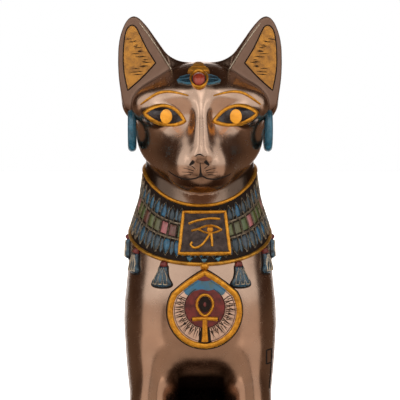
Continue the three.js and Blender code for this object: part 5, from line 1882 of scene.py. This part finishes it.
@dataclass
class Studio:
    """Pale floor, soft boxes and the camera at the photograph's angle.

    Attributes:
        surroundings: Heights and colours of what the bronze mirrors beside the boxes, from below to above.
        boxes: The soft boxes. The last one lights only the floor.
    """

    distance_m: float = 1.6
    elevation_deg: float = 4.0
    azimuth_deg: float = 1.0
    lens_mm: float = 200.0
    target: Place = (0.0, -0.0312, 0.3275)
    floor_half: float = 6.0
    surroundings: tuple = ((0.0, "#2c1d14"), (0.2, "#4a3426"), (0.36, "#7a604e"), (0.46, "#66503f"),
                           (0.52, "#4a3426"), (0.8, "#4a3426"), (1.0, "#2c1d14"))
    boxes: tuple[SoftBox, ...] = (
        SoftBox("key_left", -29, 33, 1.5, (1.4, 1.35), 1.15),
        SoftBox("key_right", 29, 33, 1.5, (1.4, 1.35), 1.1),
        SoftBox("side_left", -74, 32, 1.5, (1.15, 1.35), 1.15),
        SoftBox("side_right", 74, 32, 1.5, (1.15, 1.35), 1.15),
        SoftBox("overhead_front", 0, 60, 1.5, (0.8, 0.6), 1.0),
        SoftBox("front_low", 0, -8, 1.5, (1.9, 1.0), 0.42, "#ffe6d2"),
        SoftBox("low_left", -64, -12, 1.5, (1.5, 1.1), 0.8, "#ffeadb"),
        SoftBox("low_right", 64, -12, 1.5, (1.5, 1.1), 0.75, "#ffeadb"),
        SoftBox("card_below_face", 0, -38, 0.6, (1.1, 0.24), 0.5, "#ffe6d2"),
        SoftBox("backdrop_left", -170, 0, 1.8, (0.9, 2.4), 0.85),
        SoftBox("backdrop_right", 170, 0, 1.8, (0.9, 2.4), 0.85),
        SoftBox("floor_wash", 0, 90, 4.0, (14.0, 14.0), 3.2))

    def floor(self) -> Piece:
        """Builds the floor."""
        mesh = bpy.data.meshes.new("floor")
        half = self.floor_half
        corners = [(x * half, y * half, 0) for x, y in ((-1, -1), (1, -1), (1, 1), (-1, 1))]
        mesh.from_pydata(corners, [], [(0, 1, 2, 3)])
        floor = bpy.data.objects.new("floor", mesh)
        bpy.context.scene.collection.objects.link(floor)
        mesh.materials.append(Finish("pale_floor", "#f4f3f1", "#efeeec", 0, 0.7, 40, 0.01).build())
        floor.visible_glossy = False
        return floor

    def world(self) -> bpy.types.World:
        """Builds the surroundings: white to the camera, warm browns to a mirror, a faint fill to paint."""
        world = bpy.data.worlds.new("studio")
        world.use_nodes = True
        tree = world.node_tree
        tree.nodes.clear()
        seen = add_node(tree, "ShaderNodeLightPath").outputs["Is Camera Ray"]
        scattered = add_node(tree, "ShaderNodeLightPath").outputs["Is Diffuse Ray"]
        way = add_node(tree, "ShaderNodeTexCoord").outputs["Generated"]
        height = add_node(tree, "ShaderNodeSeparateXYZ", {"Vector": way}).outputs["Z"]
        level = add_node(tree, "ShaderNodeMapRange", {"Value": height, "From Min": -1.0, "From Max": 1.0})
        ramp = add_node(tree, "ShaderNodeValToRGB", {"Fac": level.outputs["Result"]})
        for i, (at, code) in enumerate(self.surroundings):
            stop = ramp.color_ramp.elements[i] if i < 2 else ramp.color_ramp.elements.new(at)
            stop.position, stop.color = at, linear(code)
        dim = add_node(tree, "ShaderNodeBackground", {"Color": ramp.outputs["Color"], "Strength": 1.0})
        fill = add_node(tree, "ShaderNodeBackground", {"Color": (1, 1, 1, 1), "Strength": 0.12})
        white = add_node(tree, "ShaderNodeBackground", {"Color": (1, 1, 1, 1), "Strength": 1.0})
        unseen = add_node(tree, "ShaderNodeMixShader", {
            "Fac": scattered, 1: dim.outputs[0], 2: fill.outputs[0]})
        mixed = add_node(tree, "ShaderNodeMixShader", {
            "Fac": seen, 1: unseen.outputs[0], 2: white.outputs[0]})
        add_node(tree, "ShaderNodeOutputWorld", {"Surface": mixed.outputs[0]})
        return world

    def camera(self) -> Piece:
        """Builds the camera."""
        camera = bpy.data.cameras.new("camera")
        camera.lens, camera.sensor_width, camera.clip_end = self.lens_mm, 36.0, 20.0
        eye = bpy.data.objects.new("camera", camera)
        bpy.context.scene.collection.objects.link(eye)
        back = direction(-self.azimuth_deg, self.elevation_deg)
        eye.location = Vector(self.target) + back * self.distance_m
        eye.rotation_euler = (-back).to_track_quat("-Z", "Y").to_euler()
        return eye

    def build(self) -> None:
        """Builds the studio."""
        scene = bpy.context.scene
        scene.view_settings.view_transform = "Standard"
        floor = self.floor()
        scene.world = self.world()
        wash = [box.build() for box in self.boxes][-1]
        wash.visible_glossy = False
        backdrop = bpy.data.collections.new("backdrop")
        backdrop.objects.link(floor)
        wash.light_linking.receiver_collection = backdrop
        scene.camera = self.camera()


def main() -> None:
    """Builds the figure and its studio in order."""
    logging.basicConfig(level=logging.INFO, format="%(name)s: %(message)s")
    for group in (Studio(), Casting(), Face(), EarPaint(), Scarab(), Earrings(), Collar(), Plaque(),
                  Pendant(), Tassels(), FlankMark()):
        group.build()


if __name__ == "__main__":
    main()
